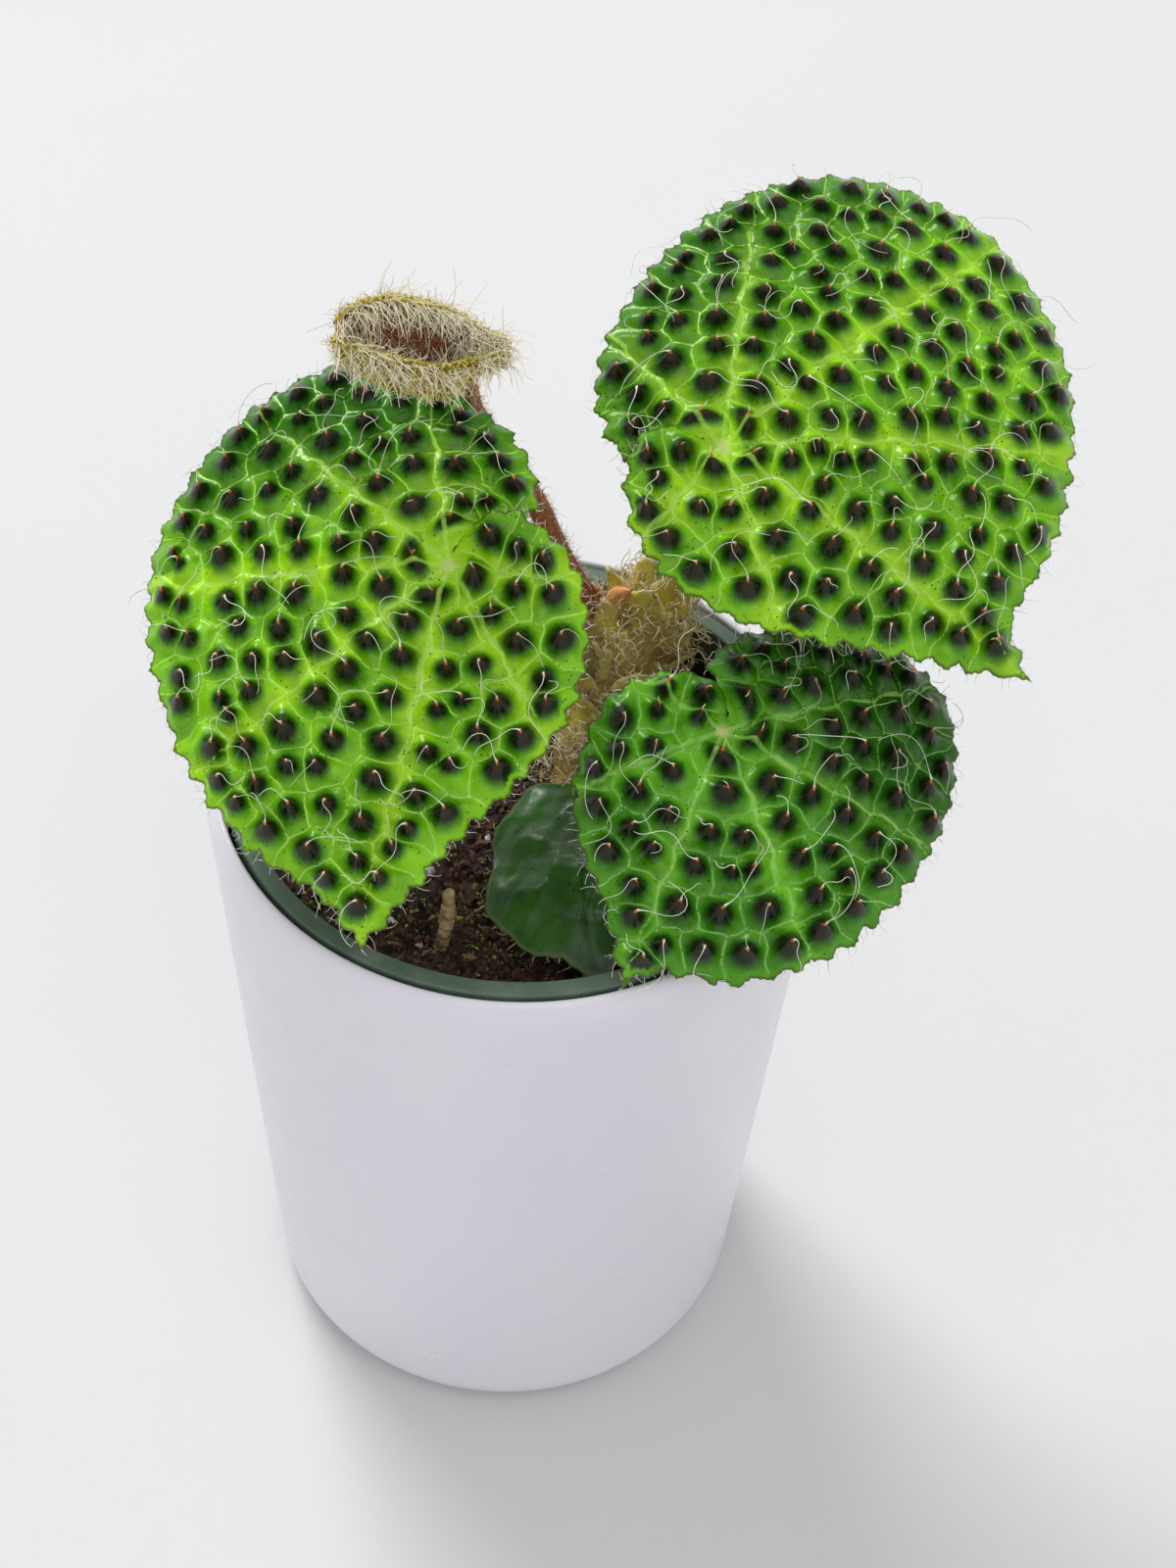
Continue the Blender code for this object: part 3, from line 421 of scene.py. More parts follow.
def turned(name, profile, material, steps=POT_STEPS):
    """Spin a profile round the middle; the ends on the axis close to one point each."""
    points = []
    faces = []
    for radius, height in profile[1:-1]:
        for step in range(steps):
            angle = 2 * math.pi * step / steps
            points.append((radius * math.cos(angle), radius * math.sin(angle), height))
    rows = len(profile) - 2
    for row in range(rows - 1):
        for step in range(steps):
            a = row * steps + step
            b = row * steps + (step + 1) % steps
            faces.append((a, a + steps, b + steps, b))
    points += [(0.0, 0.0, profile[0][1]), (0.0, 0.0, profile[-1][1])]
    first, last = rows * steps, rows * steps + 1
    for step in range(steps):
        after = (step + 1) % steps
        faces.append((first, step, after))
        faces.append((last, (rows - 1) * steps + after, (rows - 1) * steps + step))
    mesh = mesh_from(name, points, [], faces)
    face_outwards(mesh)
    mesh.shade_smooth()
    mesh.set_sharp_from_angle(angle=SHARP_CORNER)
    return add_object(name, mesh, material)


def glaze_material():
    """The outer pot's thin even glaze, with faint ripples."""
    look = Recipe("white_glaze", Roughness=0.3, Coat_Weight=0.25, Coat_Roughness=0.12)
    tint = look.fade(look.noise(14.0, 3.0), 0.25, 0.75)
    look.colour(look.mix(tint, (0.72, 0.70, 0.765), (0.745, 0.73, 0.785)))
    look.rough(look.noise(120.0, 3.0), 0.26, 0.40)
    look.bump(look.noise(260.0, 2.0), 0.03, 0.25)
    return look.material


def plastic_material():
    """The inner pot's moulded plastic, slightly dusty, with painted light on its lip and painted shade on
    its sides.
    """
    look = Recipe("green_plastic", Roughness=0.45)
    height = look.put("ShaderNodeSeparateXYZ", {"Vector": look.place}).outputs["Z"]
    # painted light and shade: the lip is coloured far lighter than the sides below it
    lip = look.fade(height, (NURSERY_RIM_TOP - 7.5) * MM, (NURSERY_RIM_TOP - 5.5) * MM)
    dust = look.fade(look.noise(160.0, 5.0, 0.65), 0.45, 0.8)
    body = look.mix(dust, (0.010, 0.018, 0.013), (0.05, 0.05, 0.035))
    painted_lit_lip = look.mix(dust, (0.080, 0.135, 0.090), (0.15, 0.20, 0.150))
    look.colour(look.mix(lip, body, painted_lit_lip))
    look.rough(look.noise(500.0, 3.0), 0.36, 0.58)
    look.bump(look.noise(1500.0, 2.0), 0.05, 0.5)
    return look.material


settle(turned("cover_pot_glazed", cover_profile(), glaze_material()), ("cover_pot",))
settle(turned("nursery_pot_moulded", nursery_profile(), plastic_material()), ("nursery_pot",))

# %% [markdown]
# ## The shape of a blade
#
# Each studded blade is drawn as an outline round the point where its stem arrives: an angle in
# degrees from the tip, and a distance. The two lobes behind the stem overlap, so the sheet is laid
# out flat with its angles narrowed and turned, and one lobe is raised over the other afterwards.
# Places and sizes are the CAD solids' own, so the fine blade keeps their form.

# %% How a blade lies
WIND_INNER = 2.0
WIND_OUTER = 9.0
NARROWING = 0.12
LOBE_RAISE = 3.6
LOBE_DROP = 2.0
LOBE_LIFT = (5.0, 16.0)        # from the petiole: flat before, fully raised after
TOOTH_STEP = 2.3
TOOTH_REACH = 0.95


class LeafPlace:
    """Where a blade sits: the petiole point, the way to its tip, its face and its doming."""

    def __init__(self, centre, to_tip, face, side, dome):
        self.centre = np.array(centre, float)
        self.face = unit(face)
        along = np.array(to_tip, float)
        self.along = unit(along - self.face * np.dot(along, self.face))
        self.across = side * np.cross(self.face, self.along)
        self.side = side
        self.dome = dome

    def world(self, u, v, w):
        drop = (u * u + v * v) / (2 * self.dome)
        return (self.centre + np.outer(u, self.along) + np.outer(v, self.across)
                + np.outer(w - drop, self.face))


class Blade:
    """One studded blade: its outline, main veins, place, and the wave of its margin."""

    def __init__(self, outline, veins, place, seed, twist, lobes, wave, shade):
        # shade holds the direction, start, end and strength of the blade's painted shade
        self.shade = shade
        self.outline = outline
        self.veins = veins
        self.place = place
        self.seed = seed
        self.twist = twist
        self.lobes = lobes
        self.wave = wave

    def to_flat(self, degrees, radius):
        share = smooth_step(radius, WIND_INNER, WIND_OUTER)
        angle = np.radians(degrees - self.twist * share) * (1.0 - NARROWING * share)
        return np.stack([radius * np.cos(angle), radius * np.sin(angle)], axis=-1)

    def to_polar(self, flat):
        radius = np.hypot(flat[:, 0], flat[:, 1])
        share = smooth_step(radius, WIND_INNER, WIND_OUTER)
        angle = np.arctan2(flat[:, 1], flat[:, 0]) / (1.0 - NARROWING * share)
        return np.degrees(angle) + self.twist * share, radius

    def lift(self, degrees, radius):
        """How far the sheet stands above its dome: the margin's wave and the two lobes."""
        amount, waves, phase, reach = self.wave
        wave = amount * np.sin(np.radians(degrees) * waves + phase) * (radius / reach) ** 2
        over_start, over_end, under_start, under_end = self.lobes
        over = smooth_step(-degrees, -over_start, -over_end)
        under = smooth_step(degrees, under_start, under_end)
        away = smooth_step(radius, *LOBE_LIFT)
        return wave + away * (LOBE_RAISE * over - LOBE_DROP * under)

    def shady(self, points):
        """Painted shade: how far the green darkens from the lit side of the blade to the shaded side."""
        away, low, high, most = self.shade
        return most * smooth_step((points - self.place.centre) @ unit(away), low, high)

    def on_sheet(self, flat, height):
        """World points, in millimetres, of flat ones at a height above the bare sheet."""
        degrees, radius = self.to_polar(flat)
        u = radius * np.cos(np.radians(degrees))
        v = radius * np.sin(np.radians(degrees))
        return self.place.world(u, v, height + self.lift(degrees, radius))


# %% [markdown]
# ## The three studded blades
#
# Each blade is a row of values: its outline, the angles of its main veins, its place, a seed, the
# turn of its lobes, where they overlap, the wave of its margin, and from which side painted shade
# darkens it.
# The left blade is a mirror image of the right one's kind, which its side of -1 says.

# %% Values of the blades
BLADES = {
    "leaf_left": Blade(
        [(0, 65), (8, 59), (22, 57.5), (43, 54.5), (68, 52.5), (90, 51), (116, 48), (140, 45),
         (157, 38), (178, 31), (200, 24.5), (218, 18), (212, 10), (203, 5.5), (187, 3.2),
         (180, 2.4), (-172, 3.2), (-170, 7), (-152, 11.8), (-128, 16.2), (-98, 21.8),
         (-70, 27.5), (-50, 32.5), (-31, 38.5), (-15, 46), (-5, 57)],
        (0, 38, 76, 118, 160, -42, -95),
        LeafPlace((-13.0, 1.3, 194.0), (-0.2, -0.896, -0.396), (-0.03, -0.40, 0.917), -1, 150.0),
        11, 33.0, (-75, -150, 130, 195), (1.2, 3.0, 0.6, 55.0), ((-0.10, 0.80, 0.6), 0.0, 34.0, 0.95)),
    "leaf_right": Blade(
        [(0, 64), (6, 56.5), (22, 58.5), (40, 62), (58, 67), (80, 70.5), (100, 66), (118, 56),
         (138, 42), (158, 32.5), (176, 27.5), (197, 21.5), (216, 16), (210, 10), (202, 5.5),
         (187, 3.2), (180, 2.4), (-172, 3.2), (-172, 8.5), (-150, 13.5), (-125, 17.5),
         (-96, 21.5), (-70, 25.5), (-46, 31), (-28, 37), (-13, 47), (-5, 56)],
        (0, 40, 78, 118, 165, -38, -95),
        LeafPlace((33.1, 20.1, 206.0), (0.827, -0.529, -0.19), (-0.06, -0.418, 0.906), 1, 120.0),
        23, 32.0, (-75, -150, 130, 195), (1.3, 3.0, 2.1, 62.0), ((-0.70, 0.65, 0.3), -2.0, 36.0, 0.85)),
    "leaf_low": Blade(
        [(0, 46.5), (8, 42.5), (25, 43), (50, 42), (75, 41), (100, 42), (122, 42.5), (138, 38.5),
         (154, 30.5), (170, 25), (188, 19.5), (206, 14), (205, 9), (200, 5.5), (187, 3.2),
         (180, 2.4), (-172, 3.2), (-168, 6), (-145, 9.5), (-113, 13.5), (-84, 20), (-55, 25.3),
         (-30, 31.5), (-12, 36.5)],
        (0, 42, 84, 128, -45, -100),
        LeafPlace((34.8, -14.6, 172.0), (-0.331, -0.891, -0.309), (0.10, -0.36, 0.93), 1, 170.0),
        37, 28.0, (-60, -135, 130, 185), (1.0, 3.0, 4.0, 45.0), ((0.8, 0.6, 0.3), -6.0, 30.0, 0.9)),
}
print("blades", {leaf: len(blade.veins) for leaf, blade in BLADES.items()}, "main veins")

# %% [markdown]
# ## The toothed margin
#
# The margin has a pointed tooth every few millimetres, with smaller ones on its flanks. A smooth
# outline is walked in even steps, and every second stop is moved outwards and the others inwards.
# Near the petiole the lobes overlap, so the teeth fade out there.

# %% Margin
RUN_STEP = 0.2
MARGIN_STEP = 0.5
TOOTH_FADE = (6.0, 16.0)       # from the petiole: no teeth before, full teeth after


def even_run(points, step):
    """Points at an even distance along a closed run."""
    closed = np.vstack([points, points[:1]])
    length = np.concatenate([[0.0], np.cumsum(np.linalg.norm(np.diff(closed, axis=0), axis=1))])
    stops = np.linspace(0.0, length[-1], int(length[-1] / step) + 1)[:-1]
    return np.stack([np.interp(stops, length, closed[:, axis]) for axis in range(2)], axis=1)


def outward_of(points, reach=1):
    ahead = np.roll(points, -reach, axis=0) - np.roll(points, reach, axis=0)
    outward = np.stack([ahead[:, 1], -ahead[:, 0]], axis=1)
    return outward / np.linalg.norm(outward, axis=1)[:, None]


def toothed_margin(blade):
    """The flat outline: large pointed teeth, with small ones on their flanks."""
    given = np.array(blade.outline + blade.outline[:1], float)
    smooth = smooth_curve(blade.to_flat(given[:, 0], given[:, 1]), 24 * len(given))[:-1]
    run = even_run(smooth, RUN_STEP)
    count = 2 * int(len(run) * RUN_STEP / (2 * TOOTH_STEP))
    draw = np.random.default_rng(blade.seed)
    stops = (np.arange(count) + draw.uniform(-0.3, 0.3, count)) * len(run) / count
    stops = np.clip(stops, 0, len(run) - 1).astype(int)
    points = run[stops]
    reach = np.where(np.arange(count) % 2 == 0, 1.0, -0.4) * draw.uniform(0.6, 1.35, count)
    fade = smooth_step(np.hypot(points[:, 0], points[:, 1]), *TOOTH_FADE)
    points = points + outward_of(points) * (reach * fade * TOOTH_REACH)[:, None]
    fine = even_run(points, MARGIN_STEP)
    fade = smooth_step(np.hypot(fine[:, 0], fine[:, 1]), *TOOTH_FADE)
    small = draw.uniform(-0.16, 0.30, len(fine)) * fade
    return fine + outward_of(fine, 2) * small[:, None]


print("margin points", {leaf: len(toothed_margin(blade)) for leaf, blade in BLADES.items()})

# %% [markdown]
# ## Cells between the veins
#
# Fine veins divide the blade into small cells, and each cell bulges up to a point. Such a net is a
# Voronoi diagram: every cell holds what lies nearest to its own centre. The centres stand in
# mirrored pairs beside the main veins, so that a straight cell border runs along each of them. The
# rest is filled from a cloud of random points, and a few rounds that move each centre to the middle
# of its cell make the sizes even.

# %% Cell centres
CELL_SPACING = 6.9
PAIR_STOPS = 12
PAIR_MARGIN_GAP = 0.36         # this gap and the next three are shares of the cell spacing
CLOUD_MARGIN_GAP = 0.16
PETIOLE_GAP = 0.62
CENTRE_GAP = 0.72
WIDE_ANGLE = 1.1               # radians between main veins that leave room for one more cell
CLOUD_COUNT = 9000
EVENING_ROUNDS = 6
CENTRE_JITTER = 0.35


def inside(points, polygon):
    """Which points lie inside the polygon, by counting crossings."""
    x, y = points[:, 0:1], points[:, 1:2]
    x0, y0 = polygon[:, 0], polygon[:, 1]
    x1, y1 = np.roll(x0, -1), np.roll(y0, -1)
    spans = (y0 > y) != (y1 > y)
    height = np.where(y1 == y0, 1e-9, y1 - y0)
    return np.sum(spans & (x < x0 + (y - y0) * (x1 - x0) / height), axis=1) % 2 == 1


def rim_distance(points, margin):
    """Distance to the nearest margin point, which stand close enough to stand for the rim."""
    tree = KDTree(len(margin))
    for index, place in enumerate(margin):
        tree.insert((*place, 0.0), index)
    tree.balance()
    return np.array([tree.find((*place, 0.0))[2] for place in points])


def main_vein_angles(blade):
    return [math.radians(degrees - blade.twist) * (1.0 - NARROWING) for degrees in blade.veins]


def paired_centres(blade):
    """Centres in mirrored pairs along the main veins, and one between two that part slowly."""
    paired = []
    veins = sorted(main_vein_angles(blade))
    for first, second in zip(veins, veins[1:]):
        if second - first < WIDE_ANGLE:
            middle = (first + second) / 2
            reach = 0.48 / math.sin((second - first) / 2) * CELL_SPACING * 0.55
            paired.append((reach * math.cos(middle), reach * math.sin(middle)))
    for angle in veins:
        for step in range(1, PAIR_STOPS + 1):
            radius = CELL_SPACING * (0.75 + 0.98 * step)
            for across in (-0.5 * CELL_SPACING, 0.5 * CELL_SPACING):
                paired.append((radius * math.cos(angle) - across * math.sin(angle),
                               radius * math.sin(angle) + across * math.cos(angle)))
    return np.array(paired)


def cell_centres(blade, margin):
    draw = np.random.default_rng(blade.seed + 1)
    paired = paired_centres(blade)
    paired = paired[inside(paired, margin)]
    paired = paired[rim_distance(paired, margin) > PAIR_MARGIN_GAP * CELL_SPACING]
    cloud = draw.uniform(margin.min(axis=0), margin.max(axis=0), (CLOUD_COUNT, 2))
    cloud = cloud[inside(cloud, margin)]
    cloud = cloud[rim_distance(cloud, margin) > CLOUD_MARGIN_GAP * CELL_SPACING]
    cloud = cloud[np.hypot(cloud[:, 0], cloud[:, 1]) > PETIOLE_GAP * CELL_SPACING]
    chosen = np.empty((0, 2))
    held = 0
    for number, place in enumerate(np.vstack([paired, cloud])):
        if number == len(paired):
            held = len(chosen)
        if not len(chosen) or np.min(np.linalg.norm(chosen - place, axis=1)) > CENTRE_GAP * CELL_SPACING:
            chosen = np.vstack([chosen, place])
    for _ in range(EVENING_ROUNDS):
        owner = np.linalg.norm(cloud[:, None] - chosen[None], axis=2).argmin(axis=1)
        for index in range(held, len(chosen)):
            group = cloud[owner == index]
            if len(group):
                chosen[index] = group.mean(axis=0)
    return chosen + draw.normal(0.0, CENTRE_JITTER, chosen.shape)


# %% [markdown]
# ## Points along the veins
#
# The net of fine veins is worked out from the triangles between neighbouring centres: the middle of
# a triangle's circle is a corner of the net. Three rows of points follow every vein, so that its
# ridge is sharp. A straight net looks drawn, so all of it wanders a little, as grown veins do.

# %% Veins of a blade
VEIN_WANDER = 0.38
VEIN_STEP = 0.55
VEIN_SIDE = 0.30
VEIN_POINT_GAP = 0.27


def wander(points):
    """A small slow shift of the net, so that its veins bend as grown ones do."""
    x, y = points[:, 0], points[:, 1]
    return VEIN_WANDER * np.stack([np.sin(0.83 * y + 0.31 * x) + 0.3 * np.sin(1.9 * y - 0.7 * x + 1.0),
                                   np.sin(0.77 * x - 0.29 * y + 2.0) + 0.3 * np.sin(1.7 * x + 0.9 * y)],
                                  axis=1) * smooth_step(np.hypot(x, y), 5.0, 14.0)[:, None]


def unwandered(points):
    """The places that the wander moves onto the given ones."""
    return points - wander(points - wander(points))


def circle_centre(a, b, c):
    double = 2 * (a[0] * (b[1] - c[1]) + b[0] * (c[1] - a[1]) + c[0] * (a[1] - b[1]))
    if abs(double) < 1e-6:
        return None
    aa, bb, cc = a @ a, b @ b, c @ c
    return np.array([(aa * (b[1] - c[1]) + bb * (c[1] - a[1]) + cc * (a[1] - b[1])) / double,
                     (aa * (c[0] - b[0]) + bb * (a[0] - c[0]) + cc * (b[0] - a[0])) / double])


def vein_rows(centres, reach):
    """Points along every cell border, in a middle row and one close on either side."""
    angles = np.radians(np.arange(0.0, 360.0, 15.0))
    ring = np.stack([np.cos(angles), np.sin(angles)], axis=1) * 3.0 * reach
    sites = np.vstack([centres, ring])
    _, _, triangles, _, _, _ = delaunay_2d_cdt([Vector(place) for place in sites], [], [], 0, 1e-5)
    middles = {}
    for triangle in triangles:
        middle = circle_centre(*(sites[index] for index in triangle))
        if middle is None:
            continue
        for start, end in zip(triangle, (*triangle[1:], triangle[0])):
            middles.setdefault(frozenset((start, end)), []).append(middle)
    rows = []
    for ends in middles.values():
        if len(ends) < 2:
            continue
        first, second = sorted(ends, key=lambda place: place @ place)[:2]
        length = np.linalg.norm(second - first)
        if length < 0.2 or np.linalg.norm(first) > 1.5 * reach:
            continue
        ahead = (second - first) / length
        stops = np.linspace(0.0, min(length, reach), max(2, int(min(length, reach) / VEIN_STEP)))
        across = np.array([-ahead[1], ahead[0]])
        for offset in (0.0, -VEIN_SIDE, VEIN_SIDE):
            rows.append(first + ahead * stops[:, None] + across * offset)
    return unwandered(np.vstack(rows))


def thinned(points, gap):
    """The points in their order, without those nearer than the gap to an earlier one."""
    cells = {}
    kept = []
    for place in points:
        key = (int(place[0] // gap), int(place[1] // gap))
        near = [other for i in (-1, 0, 1) for j in (-1, 0, 1)
                for other in cells.get((key[0] + i, key[1] + j), ())]
        if all(math.hypot(place[0] - other[0], place[1] - other[1]) > gap for other in near):
            cells.setdefault(key, []).append(place)
            kept.append(place)
    return np.array(kept)


# %% [markdown]
# ## Height and measures
#
# The height follows from two distances, to the cell's apex and to its border: a gentle rise from
# the vein, and a steep spire in the middle. The same numbers are kept on the points, and the
# material paints the dark spires and the pale veins from them.

# %% Relief of a blade
SHOULDER_HEIGHT = 2.0
SPIRE_HEIGHT = 2.4
SPIRE_BASE = 0.80              # of the way from a cell's centre to its nearest border
FINE_VEIN_RIDGE = 0.20
FINE_VEIN_WIDTH = 0.20
MAIN_VEIN_RIDGE = 0.34
MAIN_VEIN_WIDTH = 0.42
PUCKER = 0.07


def cell_measures(points, centres):
    """For each point: its cell, the distance to the cell's apex and to its border."""
    given = points
    points = points + wander(points)
    distance = np.linalg.norm(points[:, None] - centres[None], axis=2)
    order = np.argsort(distance, axis=1)[:, :5]
    nearest = np.take_along_axis(distance, order, axis=1)
    own = order[:, 0]
    borders = []
    for rank in range(1, 5):
        apart = np.linalg.norm(centres[own] - centres[order[:, rank]], axis=1)
        borders.append((nearest[:, rank] ** 2 - nearest[:, 0] ** 2) / (2 * apart))
    to_apex = np.linalg.norm(given - unwandered(centres)[own], axis=1)
    return own, to_apex, np.min(borders, axis=0)


def main_vein_distance(blade, points):
    """Distance to the nearest main vein, which thins out towards the margin."""
    degrees, radius = blade.to_polar(points + wander(points))
    result = np.full(len(points), 99.0)
    for vein in blade.veins:
        away = np.radians((degrees - vein + 180.0) % 360.0 - 180.0) * (1.0 - NARROWING)
        across = np.where(np.abs(away) < math.pi / 2, np.abs(radius * np.sin(away)), radius)
        result = np.minimum(result, across * (1.0 + 1.2 * smooth_step(radius, 10.0, 70.0)))
    return result


def sheet_relief(blade, points, centres, rim):
    """Height over the bare sheet, and the numbers that the material paints from."""
    own, to_centre, to_border = cell_measures(points, centres)
    to_main = main_vein_distance(blade, points)
    apart = np.linalg.norm(centres[:, None] - centres[None], axis=2)
    near = np.sort(apart, axis=1)[:, 1:5]
    foot = SPIRE_BASE * (0.6 * near[:, 0] + 0.4 * near.mean(axis=1)) / 2.0
    ring = to_centre / foot[own]
    draw = np.random.default_rng(blade.seed + 5)
    size = draw.uniform(0.82, 1.15, len(centres))[own]
    radius = np.hypot(points[:, 0], points[:, 1])
    fade = smooth_step(rim, -0.2, 1.9) * smooth_step(radius, 0.8, 4.5)
    inward = to_border / (to_border + to_centre + 1e-6)
    swell = 0.45 * smooth_step(inward, -0.05, 0.40) + 0.55 * smooth_step(inward, 0.0, 0.85)
    shoulder = SHOULDER_HEIGHT * swell
    rise = np.clip(1.0 - ring / 1.05, 0.0, 1.0)
    spire = SPIRE_HEIGHT * (0.5 * smooth_step(rise, 0.0, 1.0) + 0.5 * rise ** 1.7)
    height = (shoulder + spire) * size * fade
    away = smooth_step(radius, 1.2, 3.6)
    fine = np.exp(-(to_border / FINE_VEIN_WIDTH) ** 2) * away
    main = np.exp(-(to_main / MAIN_VEIN_WIDTH) ** 2)
    lower = 1.0 - 0.6 * smooth_step(radius, 20.0, 60.0)
    height += FINE_VEIN_RIDGE * fine + MAIN_VEIN_RIDGE * main * lower
    height += PUCKER * np.sin(2.1 * points[:, 0] + 0.9 * points[:, 1]) * np.sin(1.7 * points[:, 1] - own)
    notes = {"ring": ring + 3.0 * (1.0 - away) + 2.0 * (1.0 - smooth_step(rim, 0.1, 0.9)),
             "border": to_border + 2.0 * (1.0 - away), "main": to_main, "rim": rim,
             "cell": draw.uniform(0.0, 1.0, len(centres))[own], "petiole": radius}
    return height, notes


# %% [markdown]
# ## One closed sheet
#
# The margin, the veins, rings round each apex and a fine even grid give the points of a blade. A
# constrained triangulation joins them and keeps the margin as its edge. The underside is the same
# sheet a little lower, and a strip of faces along the rim closes the two.

# %% Sheets
GRID_STEP = 0.52
ROW_SHARE = 0.866              # rows of a triangular grid stand this much closer than its points
GRID_VEIN_GAP = 0.55
GRID_APEX_GAP = 0.25
APEX_RINGS = ((0.28, 6), (0.62, 9), (0.98, 13))
MARGIN_GAP = 0.4
MIDDLE_GAP = 0.3
SHEET_THICKNESS = 0.55


def sheet_faces(triangles, count, turned):
    """Faces of a closed sheet: the top, the same turned over for the underside, and the rim."""
    faces = []
    rim = set()
    for a, b, c in triangles:
        if turned:
            a, b = b, a
        faces.append((a, b, c))
        faces.append((b + count, a + count, c + count))
        for start, end in ((a, b), (b, c), (c, a)):
            if (end, start) in rim:
                rim.discard((end, start))
            else:
                rim.add((start, end))
    for start, end in sorted(rim):
        faces.append((end, start, start + count))
        faces.append((end, start + count, end + count))
    return faces


def grid_triangles(rows, columns):
    """Two triangles for each square of a grid whose points are counted row by row."""
    corners = [row * columns + column for row in range(rows - 1) for column in range(columns - 1)]
    return [triangle for a in corners
            for triangle in ((a, a + 1, a + columns), (a + 1, a + columns + 1, a + columns))]


def even_grid(margin, centres):
    """A triangular grid of points inside the margin, clear of the veins and the apexes."""
    low, high = margin.min(axis=0), margin.max(axis=0)
    columns = np.arange(low[0], high[0], GRID_STEP)
    rows = np.arange(low[1], high[1], GRID_STEP * ROW_SHARE)
    grid = np.vstack([np.stack([columns + (number % 2) * GRID_STEP / 2, np.full(len(columns), row)], axis=1)
                      for number, row in enumerate(rows)])
    grid = grid[inside(grid, margin)]
    _, to_centre, to_border = cell_measures(grid, centres)
    return grid[(to_border > GRID_VEIN_GAP) & (to_centre > APEX_RINGS[-1][0] + GRID_APEX_GAP)]


def sheet_points(margin, centres):
    reach = float(np.max(np.hypot(margin[:, 0], margin[:, 1])))
    grid = even_grid(margin, centres)
    apexes = unwandered(centres)
    rings = []
    for radius, count in APEX_RINGS:
        angles = np.arange(count) * 2 * math.pi / count + radius
        rings += [apexes + radius * np.array([math.cos(angle), math.sin(angle)]) for angle in angles]
    veins = vein_rows(centres, reach)
    veins = veins[inside(veins, margin)]
    loose = np.vstack([apexes, thinned(veins, VEIN_POINT_GAP), grid, *rings])
    loose = loose[inside(loose, margin)]
    loose = loose[rim_distance(loose, margin) > MARGIN_GAP]
    loose = loose[np.hypot(loose[:, 0], loose[:, 1]) > MIDDLE_GAP]
    return np.vstack([margin, [(0.0, 0.0)], loose])


def make_sheet(name, blade, material):
    """One studded blade as a closed sheet. Gives back the piece, its margin and its cells."""
    margin = toothed_margin(blade)
    centres = cell_centres(blade, margin)
    points = sheet_points(margin, centres)
    loop = list(range(len(margin)))
    flat, _, triangles, _, _, _ = delaunay_2d_cdt([Vector(p) for p in points], [], [loop], 1, 1e-5)
    flat = np.array([tuple(place) for place in flat])
    rim = rim_distance(flat, margin)
    height, notes = sheet_relief(blade, flat, centres, rim)
    top = blade.on_sheet(flat, height)
    under = blade.on_sheet(flat, height - SHEET_THICKNESS * (0.55 + 0.45 * smooth_step(rim, 0.0, 1.5)))
    # painted shade across the blade, kept on its points
    notes["shady"] = blade.shady(top)
    notes = {note: np.concatenate([values, values]) for note, values in notes.items()}
    notes["under"] = np.repeat([0.0, 1.0], len(flat))
    faces = sheet_faces(triangles, len(flat), blade.place.side < 0)
    mesh = mesh_from(name, np.vstack([top, under]), [], faces, notes)
    mesh.shade_smooth()
    print(name, len(centres), "cells,", len(margin), "margin points")
    return add_object(name, mesh, material), margin, centres


# %% [markdown]
# ## The skin of a studded blade
#
# From close by, each cell has a bright green floor, a pale thread of vein round it, and a spire
# that turns almost black. The skin is glossy, with tiny dark glands. All of that follows the
# numbers kept on the points, broken up by noise, so that no two cells are painted alike.

# %% Leaf material, and the studded blades
SPIRE_BROWN = (0.030, 0.014, 0.003)
MAIN_VEIN = (0.36, 0.50, 0.06)
PETIOLE_PALE = (0.55, 0.62, 0.22)
GLAND_DARK = (0.004, 0.014, 0.003)
MARGIN_DARK = (0.050, 0.055, 0.008)
BACK_GREEN = (0.12, 0.24, 0.05)
BACK_TAN = (0.22, 0.17, 0.06)
BACK_VEIN = (0.30, 0.15, 0.07)


